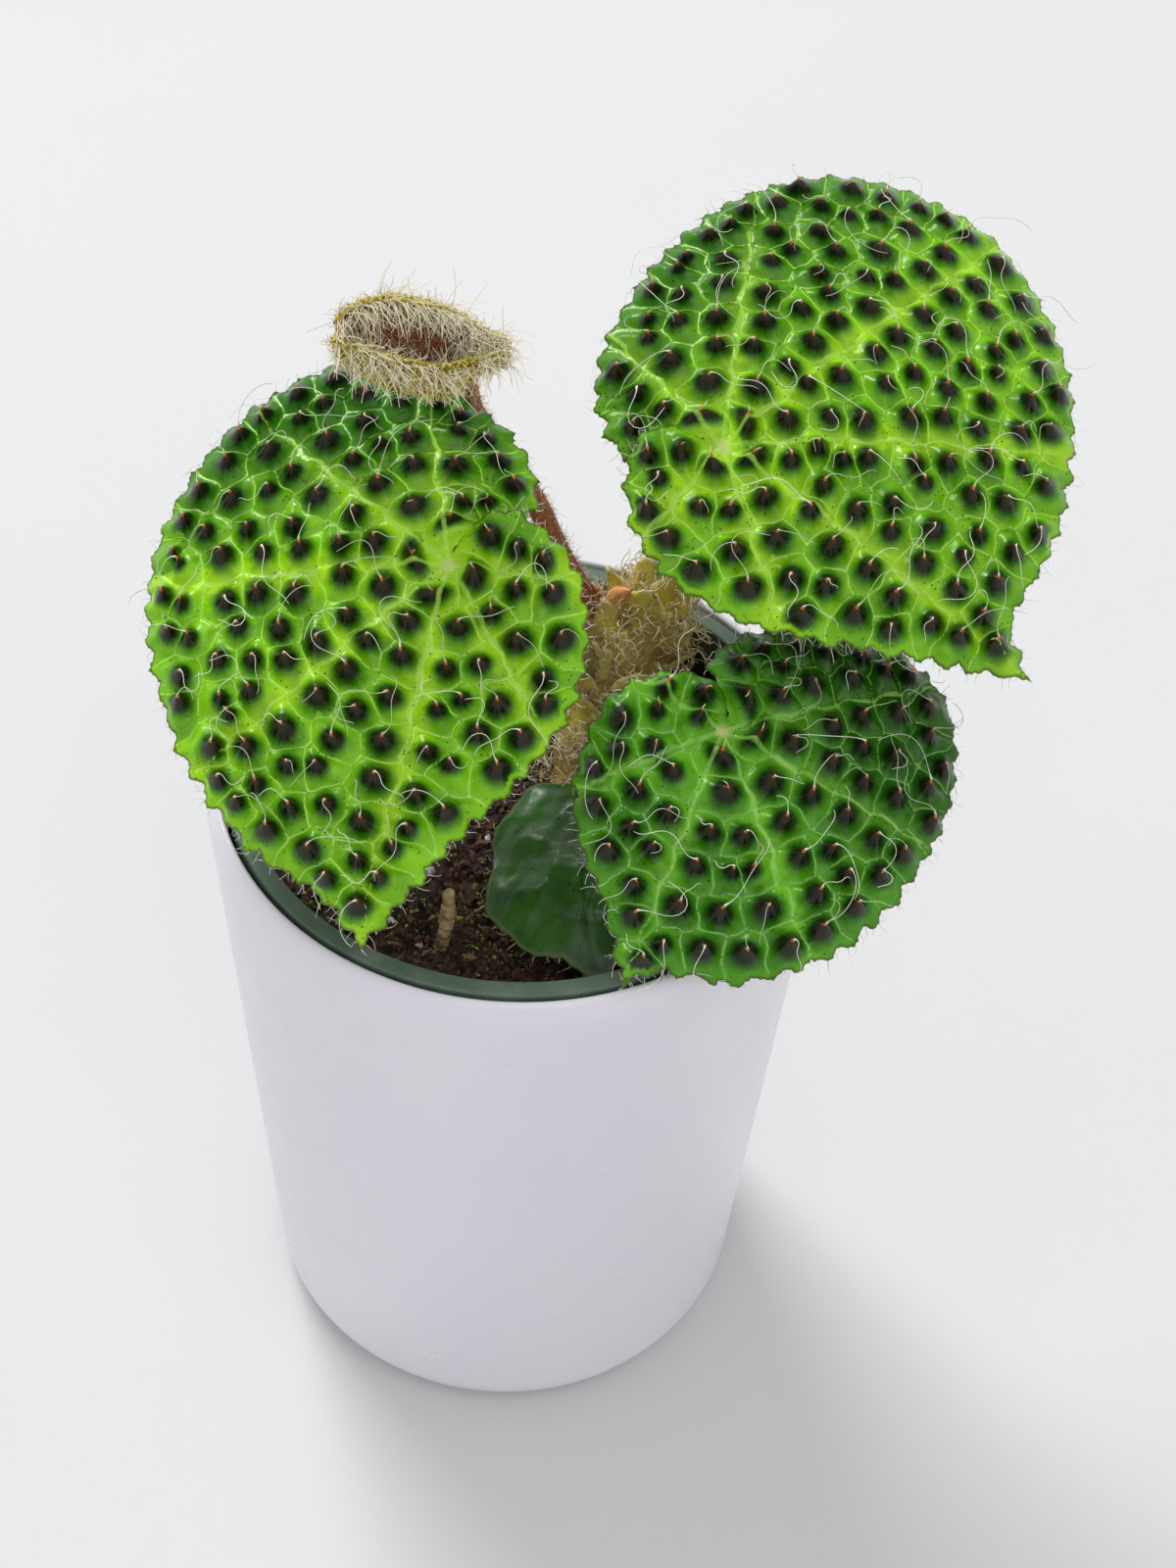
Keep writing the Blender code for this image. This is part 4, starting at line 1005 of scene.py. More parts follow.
def studded_skin(name, bright, deep, painted_light_green, spire_dark, vein_pale, gloss):
    look = Recipe(name, Roughness=gloss, Specular_IOR_Level=0.38, Specular_Tint=(1.0, 1.0, 0.80, 1.0))
    uneven = look.noise(420.0, 3.0, 0.6)
    shift = look.calc("MULTIPLY", look.calc("SUBTRACT", uneven, 0.5), 0.26)
    ring = look.calc("ADD", look.note("ring"), shift)
    broad = look.fade(look.noise(42.0, 3.0), 0.30, 0.70)
    floor = look.mix(look.calc("MULTIPLY", broad, 0.40), bright, deep)
    floor = look.mix(look.fade(look.note("cell"), 0.4, 1.0, 0.0, 0.35), floor, deep)
    # painted light: the cell floors are coloured lighter near the main veins
    floor = look.mix(look.fade(look.note("main"), 0.5, 6.5, 0.60, 0.0), floor, painted_light_green)
    # painted shade: the green deepens towards one side of each blade
    floor = look.mix(look.note("shady"), floor, deep)
    floor = look.mix(look.fade(look.noise(230.0, 4.0, 0.6), 0.45, 0.75, 0.0, 0.45), floor, deep)
    flank = look.mix(look.fade(ring, 0.80, 1.45, 0.90, 0.0), floor, deep)
    dark = look.mix(look.fade(ring, 0.60, 1.00, 1.0, 0.0), flank, spire_dark)
    brown = look.mix(look.fade(ring, 0.10, 0.50, 0.70, 0.0), dark, SPIRE_BROWN)
    thread = look.fade(look.note("border"), 0.04, 0.17, 0.85, 0.0)
    thread = look.calc("MULTIPLY", thread, look.fade(look.noise(120.0), 0.30, 0.6, 0.65, 1.0))
    veined = look.mix(thread, brown, vein_pale)
    veined = look.mix(look.fade(look.note("main"), 0.20, 0.48, 0.55, 0.0), veined, vein_pale)
    veined = look.mix(look.fade(look.note("main"), 0.05, 0.22, 0.75, 0.0), veined, MAIN_VEIN)
    veined = look.mix(look.fade(look.note("petiole"), 0.4, 2.0, 0.7, 0.0), veined, PETIOLE_PALE)
    glands = look.specks(900.0)
    dot = look.fade(glands.outputs["Distance"], 0.12, 0.20, 1.0, 0.0)
    some = look.fade(look.noise(200.0), 0.44, 0.54)
    spotted = look.mix(look.calc("MULTIPLY", dot, look.calc("MULTIPLY", some, 0.9)), veined, GLAND_DARK)
    edged = look.mix(look.fade(look.note("rim"), 0.10, 0.45, 0.70, 0.0), spotted, MARGIN_DARK)
    back = look.mix(look.fade(uneven, 0.3, 0.7), BACK_GREEN, BACK_TAN)
    back = look.mix(thread, back, BACK_VEIN)
    look.colour(look.mix(look.note("under"), edged, back))
    look.rough(look.noise(700.0, 3.0), gloss - 0.06, gloss + 0.10, 0.25)
    fine = look.noise(1100.0, 2.0)
    coarse = look.calc("MULTIPLY", look.noise(330.0), 2.2)
    look.bump(look.calc("ADD", fine, coarse), 0.13, 0.5)
    return look.material


BRIGHT_SKIN = studded_skin("bright_leaf", bright=(0.24, 0.60, 0.003), deep=(0.020, 0.150, 0.002),
                           painted_light_green=(0.42, 0.74, 0.006), spire_dark=(0.004, 0.006, 0.001),
                           vein_pale=(0.42, 0.80, 0.10), gloss=0.25)
# painted shade: the low blade, which lies under the right one, gets a darker copy of the skin
LOW_LEAF_SHADED_SKIN = studded_skin("deep_leaf", bright=(0.09, 0.36, 0.006), deep=(0.013, 0.10, 0.003),
                         painted_light_green=(0.15, 0.46, 0.008), spire_dark=(0.004, 0.007, 0.002),
                         vein_pale=(0.22, 0.55, 0.10), gloss=0.25)
SHEETS = {}
for leaf, blade in BLADES.items():
    skin = LOW_LEAF_SHADED_SKIN if leaf == "leaf_low" else BRIGHT_SKIN
    piece, margin, centres = make_sheet(leaf + "_studded", blade, skin)
    SHEETS[leaf] = (margin, centres)
    settle(piece, (leaf,))

# %% [markdown]
# ## Hairs, as skins along strands
#
# Hairs, stems, fibres and roots are all the same thing to a modeller: a round skin along a path.
# The script draws only the paths, as strands of points with a thickness on each, and one Geometry
# Nodes tree turns every strand into a closed tube. Three sides are enough for a hair that is a
# tenth of a millimetre thick, and a stem gets more.

# %% The strand tree


def tree_inputs(tree):
    return {item.name: item.identifier for item in tree.interface.items_tree
            if item.item_type == "SOCKET" and item.in_out == "INPUT"}


def run_tree(piece, tree, **values):
    """Let a Geometry Nodes tree rebuild the piece, and keep the result as a plain mesh."""
    modifier = piece.modifiers.new(tree.name, "NODES")
    modifier.node_group = tree
    names = tree_inputs(tree)
    for name, value in values.items():
        modifier[names[name.replace("_", " ")]] = value
    graph = bpy.context.evaluated_depsgraph_get()
    graph.update()
    made = bpy.data.meshes.new_from_object(piece.evaluated_get(graph), depsgraph=graph)
    piece.modifiers.clear()
    made.name = piece.name
    piece.data = made
    return piece


def start_tree(name, inputs):
    """A new tree: its geometry comes in, with named inputs, and one geometry goes out."""
    tree = bpy.data.node_groups.new(name, "GeometryNodeTree")
    for socket, kind in (("Geometry", "Geometry"), *inputs):
        tree.interface.new_socket(socket, in_out="INPUT", socket_type="NodeSocket" + kind)
    tree.interface.new_socket("Geometry", in_out="OUTPUT", socket_type="NodeSocketGeometry")
    return tree, tree.nodes.new("NodeGroupInput"), tree.nodes.new("NodeGroupOutput")


def join(tree, *rows):
    """Link nodes: each row is a node, its output, the node it feeds and that one's input."""
    for node, output, fed, taken in rows:
        tree.links.new(node.outputs[output], fed.inputs[taken])


def end_tree(tree, given, last, output, result):
    """The last two nodes: Realize Instances and Set Material."""
    whole = tree.nodes.new("GeometryNodeRealizeInstances")
    finish = tree.nodes.new("GeometryNodeSetMaterial")
    join(tree, (last, output, whole, "Geometry"), (whole, "Geometry", finish, "Geometry"),
         (given, "Material", finish, "Material"), (finish, "Geometry", result, "Geometry"))
    return tree


def make_strand_tree():
    tree, given, result = start_tree("skin_along_strands", (("Thickness", "Float"), ("Sides", "Int"),
                                                            ("Material", "Material")))
    nodes = tree.nodes
    curves = nodes.new("GeometryNodeMeshToCurve")
    thick = nodes.new("GeometryNodeInputNamedAttribute")
    thick.data_type = "FLOAT"
    thick.inputs["Name"].default_value = "thick"
    scale = nodes.new("ShaderNodeMath")
    scale.operation = "MULTIPLY"
    ring = nodes.new("GeometryNodeCurvePrimitiveCircle")
    ring.inputs["Radius"].default_value = MM
    skin = nodes.new("GeometryNodeCurveToMesh")
    skin.inputs["Fill Caps"].default_value = True
    join(tree, (given, "Geometry", curves, "Mesh"), (thick, "Attribute", scale, 0),
         (given, "Thickness", scale, 1), (given, "Sides", ring, "Resolution"),
         (curves, "Curve", skin, "Curve"), (ring, "Curve", skin, "Profile Curve"),
         (scale, 0, skin, "Scale"))
    return end_tree(tree, given, skin, "Mesh", result)


STRAND_TREE = make_strand_tree()
print("strand tree inputs", list(tree_inputs(STRAND_TREE)))

# %% [markdown]
# ## Drawing strands
#
# The strands of a piece are kept in one mesh of edges, with notes on its points: how thick the
# strand is there, how far the point is from the root, and one random shade for the whole strand.
# A hair is drawn by walking: it takes one small step after another and turns a little each time.

# %% Strands


def make_strands(name, strands, material, sides=3, thickness=1.0, draw=None):
    """One piece from many strands, each a pair of points and thicknesses in millimetres."""
    draw = draw or np.random.default_rng(len(strands))
    points = np.vstack([path for path, _ in strands])
    sizes = [len(path) for path, _ in strands]
    starts = np.concatenate([[0], np.cumsum(sizes)[:-1]])
    edges = [(start + step, start + step + 1) for start, size in zip(starts, sizes)
             for step in range(size - 1)]
    reach = [np.concatenate([[0.0], np.cumsum(np.linalg.norm(np.diff(path, axis=0), axis=1))])
             for path, _ in strands]
    shades = draw.uniform(0.0, 1.0, len(strands))
    notes = {"thick": np.concatenate([np.broadcast_to(thick, len(path)) for path, thick in strands]),
             "reach": np.concatenate(reach),
             "along": np.concatenate([np.linspace(0.0, 1.0, size) for size in sizes]),
             "shade": np.repeat(shades, sizes)}
    piece = add_object(name, mesh_from(name, points, edges, [], notes))
    run_tree(piece, STRAND_TREE, Thickness=thickness, Sides=sides, Material=material)
    piece.data.shade_smooth()
    return piece


def curly(draw, root, heading, length, steps, curl, droop=0.0, wander=0.5):
    """A strand that leaves its root along a heading and turns a little more at each step."""
    heading = unit(heading)
    axis = unit(draw.normal(size=3))
    points = [np.array(root, float)]
    for _ in range(steps):
        axis = unit(axis + draw.normal(0.0, wander, 3))
        heading = unit(heading + np.cross(axis, heading) * curl / steps - (0.0, 0.0, droop / steps))
        points.append(points[-1] + heading * length / steps)
    return np.array(points)


def taper(count, root, tip, power=1.0):
    return root + (tip - root) * np.linspace(0.0, 1.0, count) ** power


def hair_material(name, root_colour, low, high, root_reach=1.4):
    """Pale hairs whose root has another colour for the first millimetres."""
    look = Recipe(name, Roughness=0.45, Specular_IOR_Level=0.4)
    reach = look.note("reach")
    pale = look.mix(look.note("shade"), low, high)
    streak = look.fade(look.noise(900.0, 2.0), 0.3, 0.7, 0.0, 0.35)
    pale = look.mix(streak, pale, low)
    at_root = look.fade(reach, 0.55 * root_reach, root_reach, 1.0, 0.0)
    look.colour(look.mix(at_root, pale, root_colour))
    look.rough(look.noise(1200.0), 0.35, 0.6)
    look.bump(look.noise(3000.0), 0.02, 0.4)
    return look.material


# %% [markdown]
# ## The hairs of the studded blades
#
# Every spire ends in a short orange bristle that runs out into one long white hair. The hair lies
# over the blade in an arc, so its path is drawn on the flat sheet, where it is only a line that
# keeps turning, and then lifted over the spires. Short hairs also fringe the margin.

# %% Blade hairs
BRISTLE_RADIUS = 0.27
HAIR_RADIUS = 0.07
LONG_HAIR_STEPS = 14
PETIOLE_CLEAR = 7.0            # no long hair comes nearer to the petiole than this
CLEFT_CLEAR = 168.0            # nor past this angle, where the lobes overlap
FRINGE_CLEAR = 11.0


def long_hair(draw, blade, centre, apex):
    """A bristle and its hair over the blade, or nothing where it would cross the cleft."""
    length = draw.uniform(4.0, 13.0) * draw.choice([0.6, 1.0, 1.25])
    turn = draw.uniform(-2.6, 2.6)
    kink = draw.uniform(-1.1, 1.1)
    share = np.linspace(0.0, 1.0, LONG_HAIR_STEPS)
    bend = draw.uniform(0.0, 2 * math.pi) + turn * share ** 1.4 + kink * np.sin(share * 2 * math.pi)
    step = length / LONG_HAIR_STEPS
    path = np.cumsum(np.stack([np.cos(bend), np.sin(bend)], axis=1) * step, axis=0)
    path = centre + np.vstack([[(0.0, 0.0)], 0.25 * path[:1], path[:-1]])
    _, radius = blade.to_polar(path)
    turned_by = np.degrees(np.abs(np.arctan2(path[:, 1], path[:, 0])))
    if radius.min() < PETIOLE_CLEAR or turned_by.max() > CLEFT_CLEAR:
        return None
    share = np.concatenate([[0.0, 0.0], share[:-1]])
    rise = np.concatenate([[-0.35, 0.75], 1.0 + 1.5 * np.sin(share[2:] * 2.9) - 2.2 * share[2:] ** 1.5])
    thick = np.concatenate([[BRISTLE_RADIUS * 1.25, BRISTLE_RADIUS, 0.12],
                            np.full(LONG_HAIR_STEPS - 3, HAIR_RADIUS), [0.6 * HAIR_RADIUS]])
    return blade.on_sheet(path[:len(thick)], apex + rise[:len(thick)]), thick


def blade_hairs(leaf):
    blade = BLADES[leaf]
    margin, centres = SHEETS[leaf]
    draw = np.random.default_rng(blade.seed + 9)
    apexes = unwandered(centres)
    heights, _ = sheet_relief(blade, apexes, centres, rim_distance(apexes, margin))
    strands = []
    fringe = []
    for centre, apex in zip(apexes, heights):
        made = long_hair(draw, blade, centre, apex)
        if made is None:
            root = blade.on_sheet(centre[None], np.array([apex]))[0]
            path = curly(draw, root, blade.place.face + draw.normal(0.0, 0.3, 3), 2.2, 4, 1.0)
            made = (path, taper(5, BRISTLE_RADIUS, HAIR_RADIUS))
        strands.append(made)
    outward = outward_of(margin, 2)
    _, radius = blade.to_polar(margin)
    for index in range(0, len(margin), 3):
        if radius[index] < FRINGE_CLEAR:
            continue
        pair = np.array([margin[index] - outward[index], margin[index]])
        near, far = blade.on_sheet(pair, np.zeros(2))
        out = unit(far - near)
        for _ in range(draw.integers(1, 3)):
            heading = out + draw.normal(0.0, 0.45, 3)
            length = draw.choice([draw.uniform(0.6, 1.6), draw.uniform(1.4, 3.2)])
            path = curly(draw, far - 0.15 * out, heading, length, 5, draw.uniform(0.4, 2.6), 0.3)
            fringe.append((path, taper(6, HAIR_RADIUS, HAIR_RADIUS / 2)))
    return strands, fringe


LEAF_HAIR = hair_material("leaf_hair", (0.66, 0.17, 0.030), (0.50, 0.58, 0.36), (0.88, 0.91, 0.78))
FRINGE_HAIR = hair_material("fringe_hair", (0.30, 0.18, 0.07), (0.70, 0.68, 0.56),
                            (0.92, 0.91, 0.86), 0.3)
for leaf in BLADES:
    over, fringe = blade_hairs(leaf)
    settle(make_strands(leaf + "_hairs", over, LEAF_HAIR), ())
    settle(make_strands(leaf + "_fringe", fringe, FRINGE_HAIR), ())

# %% [markdown]
# ## Stems
#
# Each stem is one strand with many sides. It starts inside the rhizome and meets its blade square
# on. The paths are the CAD model's own points, apart from the middle of the red one, which bends a
# few millimetres aside so that the left blade hides it. The stems are ribbed and hairy: the red
# one carries the folded young leaf, and the others are golden green.

# %% Stem paths
GAP = 0.3
BLADE_THICKNESS = 0.9
PETIOLE_INSET = 0.3
STEM_STRAIGHT = (6.0, 3.5)     # distances behind the blade at which a stem already runs straight
STEM_POINTS = 48
FOLDED_CENTRE = (-18.6, 22.0, 225.0)
FOLDED_ALONG = (0.99, -0.13, 0.0)
FOLDED_OPEN = (0.0, -0.05, 1.0)
FOLDED_LENGTH = 31.0
FOLDED_HALF_WIDTH = 6.6
FOLDED_DEPTH = 8.0
FOLDED_SWEEP = math.radians(110.0)
BACK_CURL = math.radians(58.0)
SMOOTH_CENTRE = np.array((11.5, -20.5, 146.5))
SMOOTH_FACE = unit((-0.13, 0.0, 0.99))
SMOOTH_THICKNESS = 0.8


def folded_frame():
    along = unit(FOLDED_ALONG)
    opening = np.array(FOLDED_OPEN)
    opening = unit(opening - along * np.dot(opening, along))
    return along, opening, np.cross(opening, along)


def folded_point(along_share, across_share):
    """A point of the boat: across_share runs from one edge (-1) through the keel to the other (1)."""
    along, opening, across = folded_frame()
    body = (1.0 - abs(along_share) ** 2.4) ** 0.62
    spout = float(smooth_step(along_share, 0.15, 0.80))
    body *= 1.0 - 0.42 * spout
    angle = across_share * (FOLDED_SWEEP + BACK_CURL * (1.0 - spout) * max(across_share, 0.0))
    half = FOLDED_HALF_WIDTH * body + 0.5
    depth = FOLDED_DEPTH * body + 0.5
    bump = 0.35 * math.sin(9.0 * along_share + 1.0) * math.sin(7.0 * across_share)
    centre = np.array(FOLDED_CENTRE) + along * along_share * FOLDED_LENGTH / 2
    centre += opening * (1.6 * spout - 0.8 * math.sin(3.0 * along_share))
    return (centre + across * (half + bump) * math.sin(angle)
            - opening * (depth + bump) * (math.cos(angle) + 0.1))


def stem_to_blade(points, centre, face, thickness):
    under = [centre - face * back for back in (*STEM_STRAIGHT, thickness + GAP)]
    return smooth_curve([*points, *under], STEM_POINTS)


def stem_to_leaf(points, leaf):
    place = BLADES[leaf].place
    return stem_to_blade(points, place.centre, place.face, BLADE_THICKNESS - PETIOLE_INSET)


KEEL = folded_point(0.22, 0.25)
BELOW_KEEL = KEEL + np.array((3.0, 8.0, -7.0))
FOLDED_PATH = [(20, 32, 147), (12, 35, 154), (6.5, 35, 165), (2, 35, 177), (-3.5, 36, 187),
               (-10, 38, 197), BELOW_KEEL, KEEL + 0.2 * (KEEL - BELOW_KEEL)]
STEMS = {
    "stem_left": (stem_to_leaf([(16, 27, 141), (5, 20, 160), (-9, 9, 180)], "leaf_left"), 3.6, 2.2),
    "stem_right": (stem_to_leaf([(27, 38, 156), (31, 41, 172), (34.5, 34, 190)], "leaf_right"),
                   5.6, 2.6),
    "stem_low": (stem_to_leaf([(20, 26, 141), (27, 17, 146), (32, 2, 154)], "leaf_low"), 3.4, 2.2),
    "stem_smooth": (stem_to_blade([(12, 12, 131), (12.5, 4, 134.5), (13, -9, 137)], SMOOTH_CENTRE,
                                  SMOOTH_FACE, SMOOTH_THICKNESS), 2.0, 1.5),
    "stem_folded": (smooth_curve(FOLDED_PATH, STEM_POINTS), 2.7, 1.6),
}
print("stems", {name: (low, high) for name, (path, low, high) in STEMS.items()}, "mm thick at the ends")

# %% [markdown]
# ## Hairs on a stem
#
# A hair needs a root on the stem's skin and a heading that points away from its middle. Both come
# from a frame that travels along the path: the path's own direction, and two directions square to
# it. The thick right stem is shaggiest at its foot, where it leaves the rhizome.

# %% Stems and their hairs
NEVER_ALONG = (0.31, 0.17, 0.93)     # a direction that no path here runs in
ROOT_DEPTH = 0.12
HAIR_DROOP = 0.25


def stem_radii(low, high, count):
    return low + (high - low) * np.linspace(0.0, 1.0, count) ** 0.6


def frame_at(path, share):
    """Place, direction and two square directions of a path at a share of its points."""
    value = share * (len(path) - 1)
    start = min(int(value), len(path) - 2)
    ahead = unit(path[start + 1] - path[start])
    side = unit(np.cross(ahead, NEVER_ALONG))
    place = path[start] + (path[start + 1] - path[start]) * (value - start)
    return place, ahead, side, np.cross(ahead, side)


def hairs_round(draw, path, radii, count, length, share_range, radius, curl=1.2, lean=0.4, power=1.0):
    strands = []
    for _ in range(count):
        share = share_range[0] + (share_range[1] - share_range[0]) * draw.uniform() ** power
        place, ahead, side, up = frame_at(path, share)
        angle = draw.uniform(0.0, 2 * math.pi)
        out = side * math.cos(angle) + up * math.sin(angle)
        here = np.interp(share, np.linspace(0.0, 1.0, len(radii)), radii)
        heading = out + ahead * draw.uniform(-0.2, lean) + draw.normal(0.0, 0.25, 3)
        root = place + out * (here - ROOT_DEPTH)
        hair = curly(draw, root, heading, draw.uniform(*length), 5, curl, HAIR_DROOP)
        strands.append((hair, taper(6, radius, 0.5 * radius)))
    return strands


def stem_material(name, low, high, rib):
    look = Recipe(name, Roughness=0.5)
    stretch = look.put("ShaderNodeMapping", {"Vector": look.place, "Scale": (1.0, 1.0, 0.22)})
    streaks = look.noise(900.0, 4.0, 0.6, vector=stretch.outputs["Vector"])
    blotch = look.fade(look.noise(110.0, 3.0), 0.3, 0.7)
    body = look.mix(blotch, low, high)
    look.colour(look.mix(look.fade(streaks, 0.45, 0.7, 0.0, 0.7), body, rib))
    look.rough(streaks, 0.4, 0.7)
    look.bump(streaks, 0.25, 0.7)
    return look.material


GREEN_STEM = stem_material("green_stem", (0.26, 0.25, 0.06), (0.42, 0.33, 0.12), (0.52, 0.43, 0.20))
RED_STEM = stem_material("hairy_red_stem", (0.20, 0.050, 0.012), (0.36, 0.11, 0.025),
                         (0.46, 0.22, 0.08))
GOLD_HAIR = hair_material("golden_hair", (0.36, 0.22, 0.07), (0.56, 0.44, 0.21),
                          (0.84, 0.75, 0.50), 0.9)
PALE_HAIR = hair_material("pale_hair", (0.42, 0.16, 0.06), (0.60, 0.50, 0.32), (0.86, 0.80, 0.66), 0.6)

for number, (name, (path, low, high)) in enumerate(STEMS.items()):
    draw = np.random.default_rng(50 + number)
    red = name == "stem_folded"
    radii = stem_radii(low, high, len(path)) * (1.0 + 0.035 * np.sin(np.linspace(0, 17, len(path))))
    stem = make_strands(name + "_round", [(path, radii)], RED_STEM if red else GREEN_STEM, sides=22)
    settle(stem, (name,))
    if red:
        hairs = hairs_round(draw, path, radii, 1300, (0.7, 1.6), (0.02, 0.97), 0.070, 1.8)
        hairs += hairs_round(draw, path, radii, 450, (1.4, 3.0), (0.02, 0.97), 0.055, 2.0)
    elif name == "stem_right":
        hairs = hairs_round(draw, path, radii, 1500, (1.8, 4.2), (0.0, 0.6), 0.11, 2.8, 1.6, 1.4)
        hairs += hairs_round(draw, path, radii, 300, (1.5, 3.5), (0.4, 0.97), 0.08, 1.6)
    else:
        hairs = hairs_round(draw, path, radii, 260, (1.2, 3.0), (0.05, 0.95), 0.075, 1.6)
    settle(make_strands(name + "_hairs", hairs, PALE_HAIR if red else GOLD_HAIR), ())

# %% [markdown]
# ## The rhizome
#
# The creeping stem at the soil is thick and golden, and hidden under papery scales that each sat
# at the foot of a leaf. A scale is a small cupped sheet. They go round the rhizome by the golden
# angle, as leaves do, so that none lies straight over the one before. Dry cream fibres curl out
# between them.

# %% Rhizome and scales
RHIZOME_PATH = [(9, 4, 121), (11, 10, 128), (14, 18, 135), (18, 26, 142), (23, 33, 150), (28, 38, 159)]
RHIZOME_RADII = [4.5, 5.5, 6.8, 8.2, 8.8, 6.2]
SCALE_COUNT = 46
SCALE_ROWS = 9
SCALE_COLUMNS = 9
SCALE_THICKNESS = 0.16
SCALE_SIZE = (7.5, 11.5)
GOLDEN_ANGLE = 2.4             # radians, the turn from one leaf of a plant to the next
SOIL_LEVEL = 130.0


def rhizome_radius(share):
    base = np.interp(share, np.linspace(0.0, 1.0, len(RHIZOME_RADII)), RHIZOME_RADII)
    return base + 0.5 * np.cos(2 * math.pi * 6.0 * share)


def scale_sheet(draw, root, direction, facing, length, width):
    """Points and faces of one papery scale, cupped round its length, its rim a little ragged."""
    along = unit(direction)
    side = unit(np.cross(along, facing))
    out = np.cross(side, along)
    points = []
    for row in range(SCALE_ROWS):
        share = row / (SCALE_ROWS - 1.0)
        swell = math.sin(math.pi * (0.12 + 0.80 * share)) ** 0.7
        half = 0.5 * width * swell * (1.0 + draw.normal(0, 0.03))
        for column in range(SCALE_COLUMNS):
            across = 2.0 * column / (SCALE_COLUMNS - 1.0) - 1.0
            ragged = (share > 0.9) * draw.uniform(-0.06, 0.05)
            reach = share * length * (1.0 - 0.10 * across ** 2 + ragged)
            cup = -0.42 * half * across ** 2 + 0.9 * share ** 2.2 + draw.normal(0.0, 0.07)
            points.append(root + along * reach + side * half * across + out * cup)
    count = len(points)
    under = [place - out * SCALE_THICKNESS for place in points]
    triangles = grid_triangles(SCALE_ROWS, SCALE_COLUMNS)
    rim = [2.0 * abs(i % SCALE_COLUMNS / (SCALE_COLUMNS - 1.0) - 0.5) for i in range(count)]
    tip = [(i // SCALE_COLUMNS) / (SCALE_ROWS - 1.0) for i in range(count)]
    return points + under, sheet_faces(triangles, count, False), rim * 2, tip * 2


def make_scales(material):
    draw = np.random.default_rng(7)
    path = smooth_curve(RHIZOME_PATH, 40)
    ahead = unit(path[-1] - path[0])
    side = unit(np.cross(ahead, (0.0, 0.0, 1.0)))
    up = np.cross(side, ahead)
    points, faces, rims, tips, shades = [], [], [], [], []
    for number in range(SCALE_COUNT):
        share = 0.24 + 0.74 * number / SCALE_COUNT
        angle = GOLDEN_ANGLE * number
        out = side * math.cos(angle) + up * math.sin(angle)
        root = frame_at(path, share)[0] + out * (rhizome_radius(share) - 1.0)
        direction = ahead + out * draw.uniform(0.06, 0.40) + draw.normal(0.0, 0.15, 3)
        length, width = draw.uniform(*SCALE_SIZE), draw.uniform(*SCALE_SIZE)
        tip = root + unit(direction) * length
        if min(root[2], tip[2]) < SOIL_LEVEL + 1.5 or math.hypot(tip[0], tip[1]) > 48.0:
            continue
        made, made_faces, rim, to_tip = scale_sheet(draw, root, direction, out, length, width)
        faces += [tuple(index + len(points) for index in face) for face in made_faces]
        points += made
        rims += rim
        tips += to_tip
        shades += [draw.uniform()] * len(made)
    notes = {"rim": rims, "tip": tips, "shade": shades}
    mesh = mesh_from("rhizome_scales", points, [], faces, notes)
    mesh.shade_smooth()
    return add_object("rhizome_scales", mesh, material)


def scale_material():
    look = Recipe("golden_scales", Roughness=0.55)
    grain = look.noise(520.0, 4.0, 0.65)
    body = look.mix(look.note("shade"), (0.56, 0.44, 0.030), (0.74, 0.64, 0.14))
    body = look.mix(look.fade(grain, 0.40, 0.72, 0.0, 0.8), body, (0.34, 0.22, 0.04))
    edge = look.calc("MAXIMUM", look.fade(look.note("rim"), 0.72, 1.0, 0.0, 0.8),
                       look.fade(look.note("tip"), 0.80, 1.0, 0.0, 0.8))
    look.colour(look.mix(edge, body, (0.86, 0.78, 0.42)))
    look.rough(grain, 0.42, 0.75)
    look.bump(look.calc("ADD", grain, look.noise(1700.0)), 0.18, 0.7)
    return look.material


# %% [markdown]
# ## Core and fibres of the rhizome
#
# Under the scales runs a knobbly core, one thick strand. The dry fibres between the scales start
# just outside it and curl strongly, each in its own way, which gives the shaggy golden look. A
# fibre that would reach into the soil or through the pot's wall is left out.

# %% Core and fibres
RHIZOME_STEPS = 40
FIBRE_COUNT = 1150


def bark_material(name, low, high, dark):
    look = Recipe(name, Roughness=0.85)
    grain = look.noise(620.0, 5.0, 0.7)
    body = look.mix(look.fade(grain, 0.3, 0.7), low, high)
    look.colour(look.mix(look.fade(look.noise(260.0, 3.0), 0.5, 0.72, 0.0, 0.8), body, dark))
    look.rough(grain, 0.7, 0.95)
    look.bump(grain, 0.5, 0.9)
    return look.material


rhizome_path = smooth_curve(RHIZOME_PATH, RHIZOME_STEPS)
rhizome_radii = rhizome_radius(np.linspace(0.0, 1.0, RHIZOME_STEPS))
rhizome_radii[-3:] *= (0.93, 0.75, 0.35)
CORE_BARK = bark_material("golden_rhizome", (0.34, 0.23, 0.06), (0.52, 0.41, 0.12), (0.14, 0.08, 0.03))
core = make_strands("rhizome_core", [(rhizome_path, rhizome_radii)], CORE_BARK, sides=28)
settle(core, ("rhizome",))
settle(make_scales(scale_material()), ())


def rhizome_fibres():
    draw = np.random.default_rng(71)
    path, radii = rhizome_path, rhizome_radii
    strands = []
    for _ in range(FIBRE_COUNT):
        share = draw.uniform(0.20, 0.99)
        place, _, side, up = frame_at(path, share)
        angle = draw.uniform(0.0, 2 * math.pi)
        out = side * math.cos(angle) + up * math.sin(angle)
        here = np.interp(share, np.linspace(0.0, 1.0, RHIZOME_STEPS), radii)
        root = place + out * (here + draw.uniform(-0.2, 2.4))
        heading = out * 0.7 + draw.normal(0.0, 0.6, 3)
        strand = curly(draw, root, heading, draw.uniform(2.5, 7.0), 8, draw.uniform(3.0, 8.0), 0.2, 0.8)
        if strand[:, 2].min() > SOIL_LEVEL - 1.0 and np.hypot(strand[:, 0], strand[:, 1]).max() < 49.0:
            strands.append((strand, taper(9, 0.12, 0.07)))
    return strands


